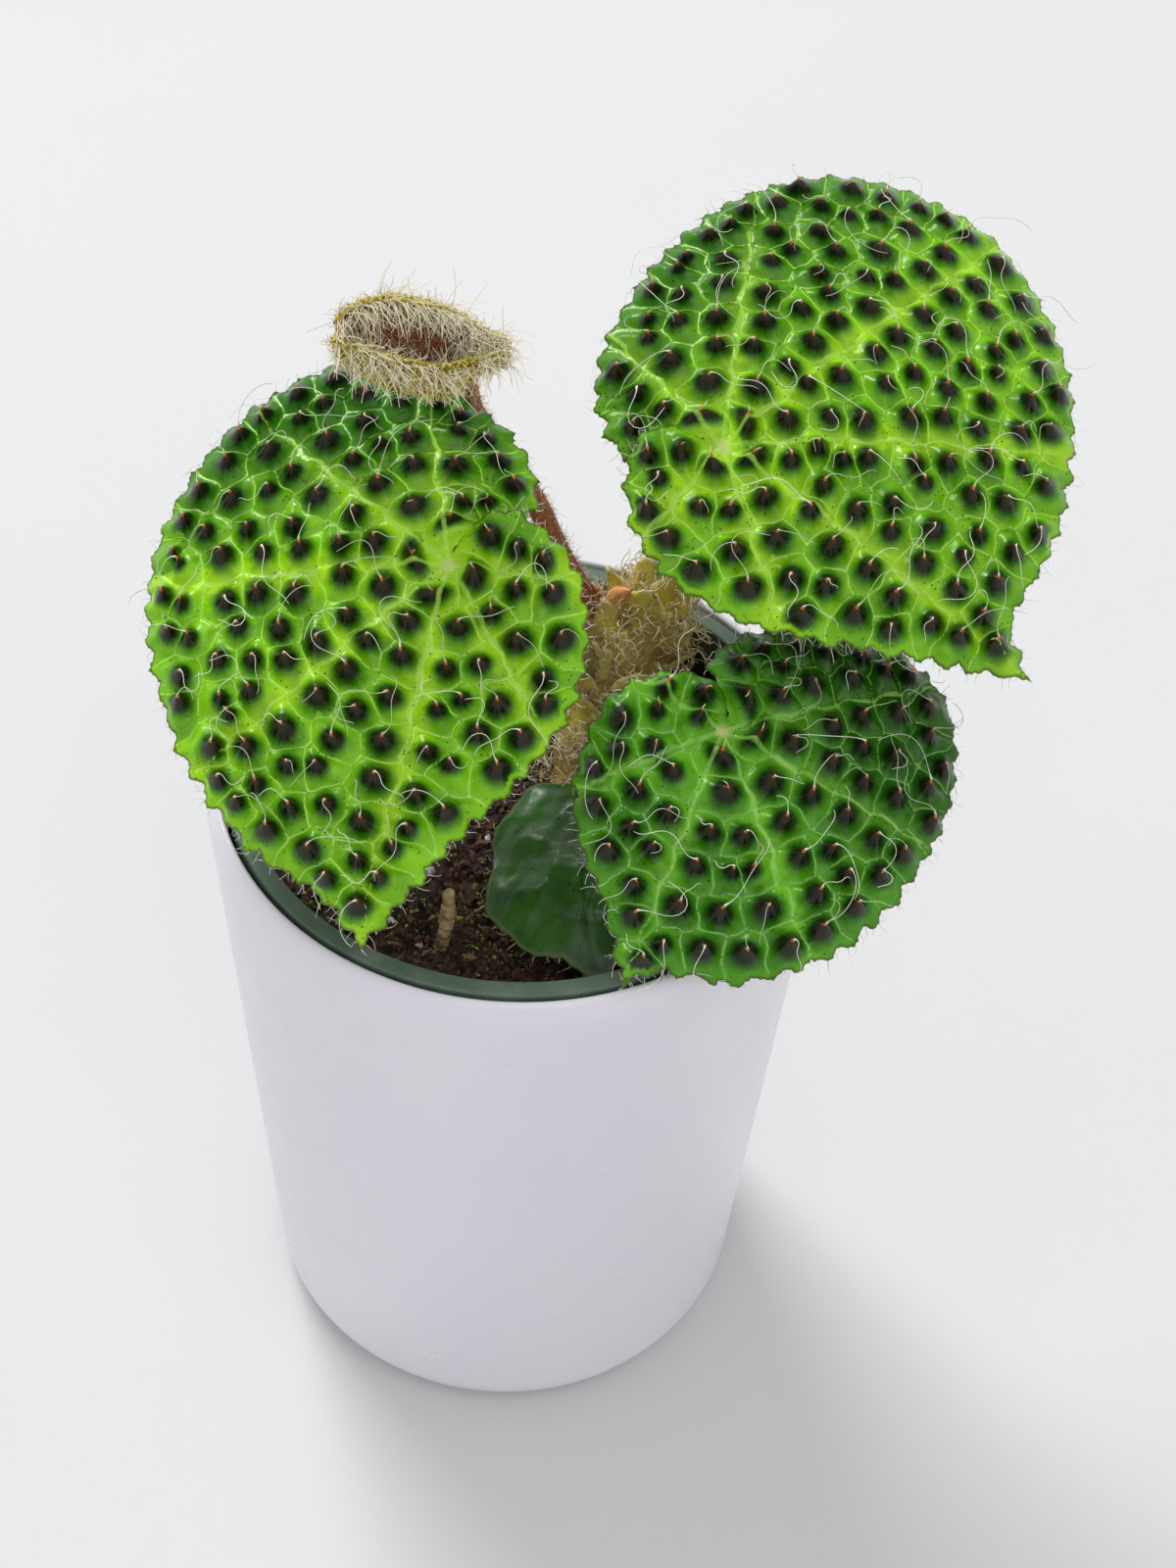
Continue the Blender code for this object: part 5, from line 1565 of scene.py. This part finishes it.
FIBRE = hair_material("cream_fibre", (0.50, 0.36, 0.14), (0.66, 0.52, 0.26), (0.93, 0.86, 0.62), 0.8)
settle(make_strands("rhizome_fibres", rhizome_fibres(), FIBRE), ())

# %% [markdown]
# ## Bud and twig
#
# The bud at the growing end is an orange point wrapped in two folded scales. The twig is a dry
# stub that somebody pushed into the soil. Both are strands whose thickness makes the shape: thin,
# thick and thin again for the bud, and knobbly for the twig.

# %% Bud and twig
BUD_PLACE = np.array((17.2, 32.6, 157.2))
BUD_LENGTH = 10.5
BUD_RADIUS = 2.2
BUD_BEND = 2.2
BUD_LEAN = unit((-0.35, -0.25, 0.9))
TWIG_PATH = [(-12.9, -31.6, 122.0), (-12.6, -30.6, 131.0), (-11.9, -28.6, 136.0), (-11.7, -27.4, 141.5)]
TWIG_RADIUS = 1.3


def bud_strands():
    share = np.linspace(-1.0, 1.0, 22)
    body = np.sqrt(np.maximum(1.0 - share ** 2, 0.0)) * (1.0 - 0.60 * np.maximum(share, 0.0))
    path = BUD_PLACE + np.outer(share * BUD_LENGTH / 2, BUD_LEAN)
    path = path + np.outer(BUD_BEND * np.maximum(share + 0.4, 0.0) ** 2, (1.0, -0.25, -0.15))
    strands = [(path, BUD_RADIUS * np.maximum(body, 0.02))]
    side = unit(np.cross(BUD_LEAN, (0.0, 1.0, 0.0)))
    for sign in (-1.0, 1.0):
        wrap = path[2:-1] + side * sign * (0.55 * BUD_RADIUS * body[2:-1])[:, None]
        strands.append((wrap, 0.62 * BUD_RADIUS * body[2:-1]))
    return strands


def bud_material():
    look = Recipe("orange_bud", Roughness=0.42)
    grain = look.noise(480.0, 3.0)
    body = look.mix(look.note("along"), (0.62, 0.20, 0.035), (0.78, 0.34, 0.10))
    look.colour(look.mix(look.fade(grain, 0.45, 0.7, 0.0, 0.6), body, (0.80, 0.50, 0.24)))
    look.rough(grain, 0.35, 0.55)
    look.bump(grain, 0.2, 0.6)
    return look.material


settle(make_strands("bud_wrapped", bud_strands(), bud_material(), sides=20), ("bud",))
draw = np.random.default_rng(81)
bud_axis = bud_strands()[0][0][2:14]
bud_radii = np.linspace(2.0, 0.9, 12)
bud_hairs = hairs_round(draw, bud_axis, bud_radii, 130, (1.5, 4.0), (0.0, 1.0), 0.07, 1.4)
settle(make_strands("bud_hairs", bud_hairs, PALE_HAIR), ())

# %% [markdown]
# ## The twig
#
# The twig's path and thickness are shaken a little at every step, which makes the strand knobbly.
# A few thin roots leave its foot and lie on the soil.

# %% Twig
TWIG_STEPS = 40
TWIG_ROOTS = 9
draw = np.random.default_rng(82)
twig_path = smooth_curve(TWIG_PATH, TWIG_STEPS)
twig_radii = TWIG_RADIUS * np.interp(np.linspace(0, 3, TWIG_STEPS), range(4), (0.9, 1.0, 1.05, 0.8))
twig_radii = twig_radii * (1.0 + draw.normal(0.0, 0.10, TWIG_STEPS))
twig_path = twig_path + draw.normal(0.0, 0.12, (TWIG_STEPS, 3))
TWIG_BARK = bark_material("dry_twig", (0.26, 0.17, 0.07), (0.56, 0.44, 0.22), (0.10, 0.055, 0.02))
settle(make_strands("twig_bark", [(twig_path, twig_radii)], TWIG_BARK, sides=14), ("twig",))
roots = []
for _ in range(TWIG_ROOTS):
    foot = twig_path[10] + draw.normal(0.0, 0.7, 3)
    heading = (draw.normal(0.0, 1.0), draw.normal(0.0, 1.0), draw.uniform(-0.9, 0.1))
    root = curly(draw, foot, heading, draw.uniform(3.0, 8.0), 9, 2.0, 0.5, 0.8)
    roots.append((root, taper(10, 0.34, 0.12)))
settle(make_strands("twig_roots", roots, TWIG_BARK, sides=6), ())

# %% [markdown]
# ## The smooth young blade
#
# Low over the soil lies a young blade that hasn't grown its studs yet. It is dark, leathery and
# softly folded. A fine grid of rings carries the folds, and the material adds the glossy skin, a
# painted sheen, the dark glands and painted shade along a midrib crease.

# %% Smooth blade
SMOOTH_LONG = 22.5
SMOOTH_WIDE = 17.5
SMOOTH_RINGS = 46
SMOOTH_STEPS = 150
CREASE_TURN = 0.06             # the midrib leaves the middle by this much for each millimetre


def smooth_axes():
    along = unit(np.cross((1.0, 0.0, 0.0), SMOOTH_FACE))
    along = -along if along[1] > 0 else along
    return along, np.cross(SMOOTH_FACE, along)


def smooth_height(u, v):
    dome = -(u * u + 1.3 * v * v) / 95.0
    folds = 0.9 * np.sin(0.42 * u + 0.8) * np.cos(0.30 * v)
    puckers = 0.22 * np.sin(0.9 * u + 0.5 * v + 1.3) * np.sin(0.8 * v - 0.3 * u)
    crease = -0.28 * np.exp(-((v - CREASE_TURN * u) / 0.5) ** 2)
    return dome + (folds + puckers + crease) * smooth_step(np.hypot(u, v), 2.0, 8.0)


def make_smooth_blade(material):
    along, across = smooth_axes()
    share = (np.arange(SMOOTH_RINGS) + 1.0) / SMOOTH_RINGS
    angle = 2 * math.pi * np.arange(SMOOTH_STEPS) / SMOOTH_STEPS
    wave = 1.0 + np.outer(share, 0.05 * np.sin(5 * angle + 0.6) + 0.03 * np.sin(9 * angle)
                          + 0.008 * np.sin(31 * angle + 2.0 * np.sin(3 * angle)))
    u = (SMOOTH_LONG * share[:, None] * wave * np.cos(angle)).ravel()
    v = (SMOOTH_WIDE * share[:, None] * wave * np.sin(angle)).ravel()
    u, v = np.append(u, 0.0), np.append(v, 0.0)
    rim = np.append(np.repeat(1.0 - share, SMOOTH_STEPS) * SMOOTH_WIDE, SMOOTH_WIDE)
    height = smooth_height(u, v)
    top = SMOOTH_CENTRE + np.outer(u, along) + np.outer(v, across) + np.outer(height, SMOOTH_FACE)
    thickness = SMOOTH_THICKNESS * (0.4 + 0.6 * smooth_step(rim, 0.0, 1.5))
    under = top - SMOOTH_FACE * thickness[:, None]
    triangles = []
    for ring in range(SMOOTH_RINGS - 1):
        for step in range(SMOOTH_STEPS):
            a = ring * SMOOTH_STEPS + step
            b = ring * SMOOTH_STEPS + (step + 1) % SMOOTH_STEPS
            triangles.append((a, a + SMOOTH_STEPS, b + SMOOTH_STEPS))
            triangles.append((a, b + SMOOTH_STEPS, b))
    for step in range(SMOOTH_STEPS):
        triangles.append((len(u) - 1, step, (step + 1) % SMOOTH_STEPS))
    notes = {"rim": np.tile(rim, 2), "crease": np.tile(np.abs(v - CREASE_TURN * u), 2),
             "under": np.repeat([0.0, 1.0], len(u))}
    faces = sheet_faces(triangles, len(u), False)
    mesh = mesh_from("leaf_smooth_skin", np.vstack([top, under]), [], faces, notes)
    mesh.shade_smooth()
    rim_points = top[-1 - SMOOTH_STEPS:-1]
    return add_object("leaf_smooth_skin", mesh, material), rim_points


def smooth_skin():
    look = Recipe("smooth_leaf", Roughness=0.3, Specular_IOR_Level=0.35)
    broad = look.fade(look.noise(90.0, 3.0), 0.32, 0.68)
    body = look.mix(broad, (0.012, 0.060, 0.006), (0.040, 0.17, 0.008))
    # painted sheen: pale grey-green patches in the colour stand in for reflections
    painted_sheen = look.fade(look.noise(45.0, 2.0), 0.45, 0.7, 0.0, 0.6)
    body = look.mix(painted_sheen, body, (0.045, 0.085, 0.040))
    # painted shade: the colour darkens along the midrib crease
    crease = look.fade(look.note("crease"), 0.1, 0.6, 0.6, 0.0)
    body = look.mix(crease, body, (0.012, 0.045, 0.010))
    dot = look.fade(look.specks(560.0).outputs["Distance"], 0.10, 0.18, 1.0, 0.0)
    some = look.fade(look.noise(130.0), 0.38, 0.52, 0.0, 0.9)
    body = look.mix(look.calc("MULTIPLY", dot, some), body, (0.004, 0.010, 0.004))
    body = look.mix(look.fade(look.note("rim"), 0.2, 0.9, 0.6, 0.0), body, (0.13, 0.16, 0.06))
    look.colour(look.mix(look.note("under"), body, (0.10, 0.06, 0.03)))
    look.rough(look.noise(600.0, 3.0), 0.24, 0.42, 0.25)
    fine = look.noise(1000.0, 2.0)
    coarse = look.calc("MULTIPLY", look.noise(260.0), 2.0)
    look.bump(look.calc("ADD", fine, coarse), 0.12, 0.5)
    return look.material


smooth_piece, smooth_rim = make_smooth_blade(smooth_skin())
settle(smooth_piece, ("leaf_smooth",))
draw = np.random.default_rng(91)
fringe = []
for place in smooth_rim[::3]:
    heading = unit(place - SMOOTH_CENTRE) + draw.normal(0.0, 0.5, 3)
    hair = curly(draw, place, heading, draw.uniform(0.8, 2.6), 5, 1.6, 0.3)
    fringe.append((hair, taper(6, 0.08, 0.04)))
settle(make_strands("leaf_smooth_fringe", fringe, FRINGE_HAIR), ())

# %% [markdown]
# ## The folded young leaf
#
# The newest leaf is still folded up like a small boat, and it is the hairiest thing on the plant.
# Its skin is all bumps, future studs, yellow-green outside and red brown inside. From every bump a
# pale hair grows: short and dense outside, long and combed over the opening inside.

# %% Folded leaf
FOLDED_STATIONS = 110
FOLDED_ACROSS = 90
FOLDED_WALL = 0.9
FOLDED_THIN = 0.35             # how much higher the inner skin lies under a bump than between two
FOLDED_REACH = 0.97
BUMP_ROWS = 13.0
BUMP_COLUMNS = 9.0
BUMP_HEIGHT = 0.5
BACK_RIM = (0.52, 0.44, 0.06)
FRONT_RIM = (0.66, 0.62, 0.05)


def folded_bump(along_share, across_share):
    """Small studs in staggered rows."""
    row = along_share * BUMP_ROWS
    column = across_share * BUMP_COLUMNS + 0.5 * np.floor(row)
    lengthwise = np.cos(math.pi * (row - np.round(row))) ** 2
    return lengthwise * np.cos(math.pi * (column - np.round(column))) ** 2


def folded_skin_point(along_share, across_share, depth=0.0):
    """A point this deep under the boat's outer skin, and the direction out of the skin."""
    place = folded_point(along_share, across_share)
    step = 0.002
    ahead = folded_point(along_share + step, across_share) - folded_point(along_share - step, across_share)
    side = folded_point(along_share, across_share + step) - folded_point(along_share, across_share - step)
    out = unit(np.cross(side, ahead))
    if np.dot(out, place - folded_point(along_share * 0.5, 0.0) - np.array((0.0, 0.0, 5.0))) < 0.0:
        out = -out
    return place - out * depth, out


def make_folded_blade(material):
    count_along, count_across = FOLDED_STATIONS, FOLDED_ACROSS
    outer, inner, across_notes, bumps = [], [], [], []
    for station in range(count_along):
        along_share = FOLDED_REACH * (2.0 * station / (count_along - 1) - 1.0)
        for step in range(count_across):
            across_share = 2.0 * step / (count_across - 1) - 1.0
            place, out = folded_skin_point(along_share, across_share)
            bump = float(folded_bump(along_share, across_share))
            outer.append(place + out * (BUMP_HEIGHT * bump - 0.1))
            wall = FOLDED_WALL * (1.0 - 0.5 * abs(across_share) ** 4)
            inner.append(place - out * (wall + FOLDED_THIN * (1.0 - bump)))
            across_notes.append(across_share)
            bumps.append(bump)
    faces = sheet_faces(grid_triangles(count_along, count_across), len(outer), False)
    notes = {"across": across_notes * 2, "bump": bumps * 2, "inner": np.repeat([0.0, 1.0], len(outer))}
    mesh = mesh_from("leaf_folded_skin", np.array(outer + inner), [], faces, notes)
    face_outwards(mesh)
    mesh.shade_smooth()
    return add_object("leaf_folded_skin", mesh, material)


def folded_skin():
    look = Recipe("young_leaf", Roughness=0.6)
    grain = look.noise(700.0, 4.0, 0.6)
    bump = look.note("bump")
    outside = look.mix(look.fade(bump, 0.10, 0.55), (0.22, 0.11, 0.02), (0.60, 0.56, 0.02))
    outside = look.mix(look.fade(grain, 0.45, 0.7, 0.0, 0.6), outside, (0.36, 0.42, 0.02))
    within = look.mix(look.fade(bump, 0.15, 0.8), (0.36, 0.11, 0.03), (0.80, 0.26, 0.05))
    within = look.mix(look.fade(look.note("across"), 0.55, 0.95, 0.0, 0.75), within, BACK_RIM)
    within = look.mix(look.fade(look.note("across"), -1.0, -0.65, 0.9, 0.0), within, FRONT_RIM)
    look.colour(look.mix(look.note("inner"), outside, within))
    look.rough(grain, 0.5, 0.8)
    look.bump(grain, 0.2, 0.7)
    return look.material


settle(make_folded_blade(folded_skin()), ("leaf_folded",))

# %% [markdown]
# ## Three sorts of hair on the young leaf
#
# The outside is covered in short hairs that stand up. Longer ones stand in the hollow and lean to
# its opening. The longest grow on the two rims and are combed across the opening.

# %% Hairs of the folded leaf
OUTSIDE_HAIRS = 1250
INSIDE_HAIRS = 1050
RIM_HAIRS = 700


def folded_hairs():
    draw = np.random.default_rng(95)
    strands = []
    for _ in range(OUTSIDE_HAIRS):
        along_share = draw.uniform(-0.96, 0.96)
        across_share = draw.uniform(-1.0, 1.0)
        root, out = folded_skin_point(along_share, across_share, 0.1)
        heading = out + draw.normal(0.0, 0.35, 3)
        hair = curly(draw, root, heading, draw.uniform(1.0, 2.8), 5, 2.0, 0.3)
        strands.append((hair, taper(6, 0.085, 0.045)))
    along, opening, across = folded_frame()
    for _ in range(INSIDE_HAIRS):
        along_share = draw.uniform(-0.93, 0.93)
        across_share = draw.uniform(-0.95, 0.95)
        root, out = folded_skin_point(along_share, across_share, FOLDED_WALL)
        heading = -out * 0.6 + opening * 0.5 + draw.normal(0.0, 0.3, 3)
        hair = curly(draw, root, heading, draw.uniform(2.4, 5.6), 6, 1.6, 0.1)
        strands.append((hair, taper(7, 0.09, 0.05)))
    for _ in range(RIM_HAIRS):
        along_share = draw.uniform(-0.95, 0.95)
        across_share = draw.choice([-1.0, 1.0, 1.0]) * draw.uniform(0.75, 1.0)
        root, _ = folded_skin_point(along_share, across_share, 0.4)
        heading = opening * 0.35 - across * draw.uniform(0.2, 1.2) + along * 0.35 + draw.normal(0.0, 0.2, 3)
        hair = curly(draw, root, heading, draw.uniform(4.0, 9.0), 9, draw.uniform(0.5, 1.8), 0.6)
        strands.append((hair, taper(10, 0.10, 0.05)))
    return strands


YOUNG_HAIR = hair_material("young_hair", (0.50, 0.26, 0.06), (0.70, 0.62, 0.36), (0.95, 0.92, 0.78), 1.1)
settle(make_strands("leaf_folded_hairs", folded_hairs(), YOUNG_HAIR), ())

# %% [markdown]
# ## The soil
#
# Peat is a dark lumpy surface that is covered in crumbs, fibres and a little moss. The surface is a
# fine disc of rings, raised by three sizes of noise and closed below, so that it fills the green
# pot. Its edge drops a little where it meets the wall, as soil does that has been watered.

# %% Soil surface
SOIL_LUMP = 1.1
SOIL_RINGS = 84
SOIL_STEPS = 220
SOIL_EDGE_HEIGHT = SOIL_LEVEL - 3.0
SOIL_BOTTOM = 5.9
SOIL_GAP = 0.4                 # between the soil and the pot's wall
EDGE_DROP = 2.6


def soil_height(x, y):
    """The large lumps, which the CAD's soil has too."""
    lump = (math.sin(0.31 * x + 1.1) * math.sin(0.27 * y + 0.4)
            + 0.6 * math.sin(0.63 * x - 0.21 * y + 2.0)
            + 0.5 * math.sin(0.52 * y + 0.35 * x + 0.7))
    return SOIL_LEVEL + SOIL_LUMP * lump


def crumbly(x, y):
    """Fine unevenness from three sizes of noise."""
    total = 0.0
    for scale, amount in ((0.35, 0.9), (0.9, 0.55), (2.2, 0.30)):
        total += amount * noise.noise((x * scale, y * scale, scale))
    return total


def make_soil(material):
    edge_radius = nursery_inner_radius(SOIL_EDGE_HEIGHT) - SOIL_GAP
    points = []
    rings = [(nursery_inner_radius(SOIL_BOTTOM) - 0.5, SOIL_BOTTOM), (edge_radius, SOIL_EDGE_HEIGHT - 2.0)]
    rings += [(edge_radius * (1.0 - index / (SOIL_RINGS + 1.0)), None) for index in range(SOIL_RINGS + 1)]
    for radius, height in rings:
        for step in range(SOIL_STEPS):
            angle = 2 * math.pi * step / SOIL_STEPS
            x, y = radius * math.cos(angle), radius * math.sin(angle)
            drop = EDGE_DROP * smooth_step(radius, 0.93 * edge_radius, edge_radius)
            points.append((x, y, height if height else soil_height(x, y) + crumbly(x, y) - drop))
    faces = []
    for ring in range(len(rings) - 1):
        for step in range(SOIL_STEPS):
            a = ring * SOIL_STEPS + step
            b = ring * SOIL_STEPS + (step + 1) % SOIL_STEPS
            faces.append((a, b, b + SOIL_STEPS, a + SOIL_STEPS))
    points += [(0.0, 0.0, SOIL_BOTTOM), (0.0, 0.0, soil_height(0.0, 0.0))]
    low, top = len(points) - 2, len(points) - 1
    last = (len(rings) - 1) * SOIL_STEPS
    for step in range(SOIL_STEPS):
        after = (step + 1) % SOIL_STEPS
        faces.append((low, after, step))
        faces.append((top, last + step, last + after))
    mesh = mesh_from("soil_peat", points, [], faces)
    mesh.shade_smooth()
    return add_object("soil_peat", mesh, material)


def peat_material(name, low, high, light, specks):
    look = Recipe(name, Roughness=0.9)
    grain = look.noise(900.0, 5.0, 0.7)
    lumps = look.noise(260.0, 4.0, 0.6)
    body = look.mix(look.fade(lumps, 0.35, 0.65), low, high)
    body = look.mix(look.fade(grain, 0.60, 0.74, 0.0, specks), body, light)
    look.colour(body)
    look.rough(grain, 0.55, 0.98)
    look.bump(look.calc("ADD", grain, lumps), 0.9, 1.0)
    return look.material


PEAT = peat_material("peat_soil", (0.012, 0.006, 0.003), (0.060, 0.028, 0.013), (0.22, 0.13, 0.07), 0.8)
soil_piece = settle(make_soil(PEAT), ("soil",))

# %% [markdown]
# ## A tree that scatters
#
# Thousands of small things that differ only in size and turn are what instances are for.
# Distribute Points on Faces throws points on a surface, Instance on Points puts one lump on each,
# and two Random Value nodes turn and scale them. A third random number is stored on every lump, and
# its material reads it, so that no two have the same shade. All of them have a fixed seed.

# %% Scattering tree


def make_scatter_tree():
    tree, given, result = start_tree("scatter_crumbs", (
        ("Crumb", "Object"), ("Density", "Float"), ("Smallest", "Float"), ("Largest", "Float"),
        ("Seed", "Int"), ("Material", "Material")))
    nodes = tree.nodes
    spread = nodes.new("GeometryNodeDistributePointsOnFaces")
    crumb = nodes.new("GeometryNodeObjectInfo")
    turn = nodes.new("FunctionNodeRandomValue")
    turn.data_type = "FLOAT_VECTOR"
    turn.inputs["Max"].default_value = (2 * math.pi, 2 * math.pi, 2 * math.pi)
    size = nodes.new("FunctionNodeRandomValue")
    size.data_type = "FLOAT"
    shade = nodes.new("FunctionNodeRandomValue")
    shade.data_type = "FLOAT"
    copies = nodes.new("GeometryNodeInstanceOnPoints")
    mark = nodes.new("GeometryNodeStoreNamedAttribute")
    mark.data_type = "FLOAT"
    mark.domain = "INSTANCE"
    mark.inputs["Name"].default_value = "shade"
    join(tree, (given, "Geometry", spread, "Mesh"), (given, "Density", spread, "Density"),
         (given, "Seed", spread, "Seed"), (given, "Crumb", crumb, "Object"),
         (given, "Smallest", size, 2), (given, "Largest", size, 3), (given, "Seed", size, "Seed"),
         (spread, "Points", copies, "Points"), (crumb, "Geometry", copies, "Instance"),
         (turn, 0, copies, "Rotation"), (size, 1, copies, "Scale"),
         (copies, "Instances", mark, "Geometry"), (shade, 1, mark, "Value"))
    return end_tree(tree, given, mark, "Geometry", result)


SCATTER_TREE = make_scatter_tree()
print("scatter tree inputs", list(tree_inputs(SCATTER_TREE)))

# %% [markdown]
# ## Crumbs, bark, moss and grains
#
# Four kinds of small lump lie on the peat. Each kind has its own lump, density and sizes. A noise
# says where the moss and the white grains gather, so that they come in patches, as they grow and
# wash together. The tree runs on a copy of the soil's upper faces, and what it makes is kept.

# %% Scattered pieces
SURFACE_DEPTH = 3.5            # faces no deeper than this below the soil's edge take crumbs


def make_crumb(name, long, flat, seed):
    """A small uneven lump of twenty faces, about a millimetre across."""
    draw = np.random.default_rng(seed)
    cage = bmesh.new()
    bmesh.ops.create_icosphere(cage, subdivisions=1, radius=0.5 * MM)
    for vertex in cage.verts:
        vertex.co = vertex.co * draw.uniform(0.6, 1.3)
        vertex.co = (vertex.co.x * long, vertex.co.y, vertex.co.z * flat)
    mesh = bpy.data.meshes.new(name)
    cage.to_mesh(mesh)
    cage.free()
    return add_object(name, mesh)


def soil_patch(name, keep):
    """A copy of the soil's upper faces where keep says so, to scatter on."""
    source = soil_piece.data
    points = np.array([vertex.co for vertex in source.vertices]) / MM
    lowest = (SOIL_EDGE_HEIGHT - SURFACE_DEPTH) * MM
    faces = [tuple(face.vertices) for face in source.polygons
             if face.center.z > lowest and keep(face.center.x / MM, face.center.y / MM)]
    used = sorted({index for face in faces for index in face})
    place = {index: number for number, index in enumerate(used)}
    faces = [tuple(place[index] for index in face) for face in faces]
    return add_object(name, mesh_from(name, points[used], [], faces))


def scatter(name, keep, crumb, density, sizes, seed, material):
    """Scatter one sort of lump where keep says so; density counts lumps on a square metre."""
    piece = soil_patch(name, keep)
    run_tree(piece, SCATTER_TREE, Crumb=crumb, Density=density, Smallest=sizes[0], Largest=sizes[1],
             Seed=seed, Material=material)
    bpy.data.objects.remove(crumb)
    settle(piece, ())


def shaded_material(name, low, high, roughness):
    look = Recipe(name, Roughness=roughness)
    grain = look.noise(1300.0, 3.0)
    body = look.mix(look.note("shade"), low, high)
    look.colour(look.mix(look.fade(grain, 0.35, 0.7, 0.0, 0.5), body, low))
    look.rough(grain, roughness - 0.15, min(roughness + 0.1, 1.0))
    look.bump(grain, 0.25, 0.8)
    return look.material


def everywhere(x, y):
    return True


def patchy(scale, level, shift):
    """A rule that is true where a noise of this scale lies above the level."""
    return lambda x, y: noise.noise((x * scale + shift, y * scale, shift)) > level


# piece, where it lies, (lump, length, flatness, seed), density, sizes, seed, (look, low, high, roughness)
SORTS = (
    ("soil_crumbs", everywhere, ("crumb", 1.3, 0.8, 1), 420000.0, (0.5, 2.2), 3,
     ("peat_crumb", (0.012, 0.006, 0.003), (0.15, 0.070, 0.032), 0.85)),
    ("soil_bark_bits", everywhere, ("bark_bit", 2.4, 0.5, 2), 50000.0, (0.6, 1.9), 5,
     ("bark_bit", (0.09, 0.045, 0.02), (0.46, 0.29, 0.14), 0.8)),
    ("soil_moss", patchy(0.11, 0.08, 4.0), ("moss_grain", 1.0, 0.9, 3), 700000.0, (0.35, 0.95), 7,
     ("moss", (0.10, 0.13, 0.018), (0.54, 0.52, 0.10), 0.9)),
    ("soil_grains", patchy(0.16, 0.30, 9.0), ("white_grain", 1.1, 0.9, 4), 26000.0, (0.9, 2.4), 9,
     ("white_grain", (0.45, 0.42, 0.36), (0.85, 0.83, 0.76), 0.8)),
)
for name, keep, lump, density, sizes, seed, look in SORTS:
    scatter(name, keep, make_crumb(*lump), density, sizes, seed, shaded_material(*look))

# %% [markdown]
# ## Fibres in the soil
#
# Short brown root fibres lie about on the peat. They are strands like the hairs, but they turn more
# and sink down on the soil. Any that would cross the pot's wall is left out.

# %% Soil fibres
SOIL_FIBRES = 620


def soil_fibres():
    draw = np.random.default_rng(99)
    strands = []
    for _ in range(SOIL_FIBRES):
        angle, radius = draw.uniform(0.0, 2 * math.pi), 46.0 * math.sqrt(draw.uniform())
        x, y = radius * math.cos(angle), radius * math.sin(angle)
        root = (x, y, soil_height(x, y) + 0.5)
        heading = (draw.normal(), draw.normal(), draw.uniform(-0.1, 0.5))
        strand = curly(draw, root, heading, draw.uniform(1.2, 4.5), 5, draw.uniform(0.5, 2.5), 0.7)
        strand[:, 2] = np.maximum(strand[:, 2], SOIL_EDGE_HEIGHT)
        if np.hypot(strand[:, 0], strand[:, 1]).max() < 47.0:
            strands.append((strand, taper(6, draw.uniform(0.07, 0.20), 0.05)))
    return strands


SOIL_FIBRE = hair_material("soil_fibre", (0.05, 0.025, 0.012), (0.08, 0.045, 0.025),
                           (0.42, 0.30, 0.18), 0.6)
settle(make_strands("soil_fibres", soil_fibres(), SOIL_FIBRE), ())

# %% [markdown]
# ## Closing
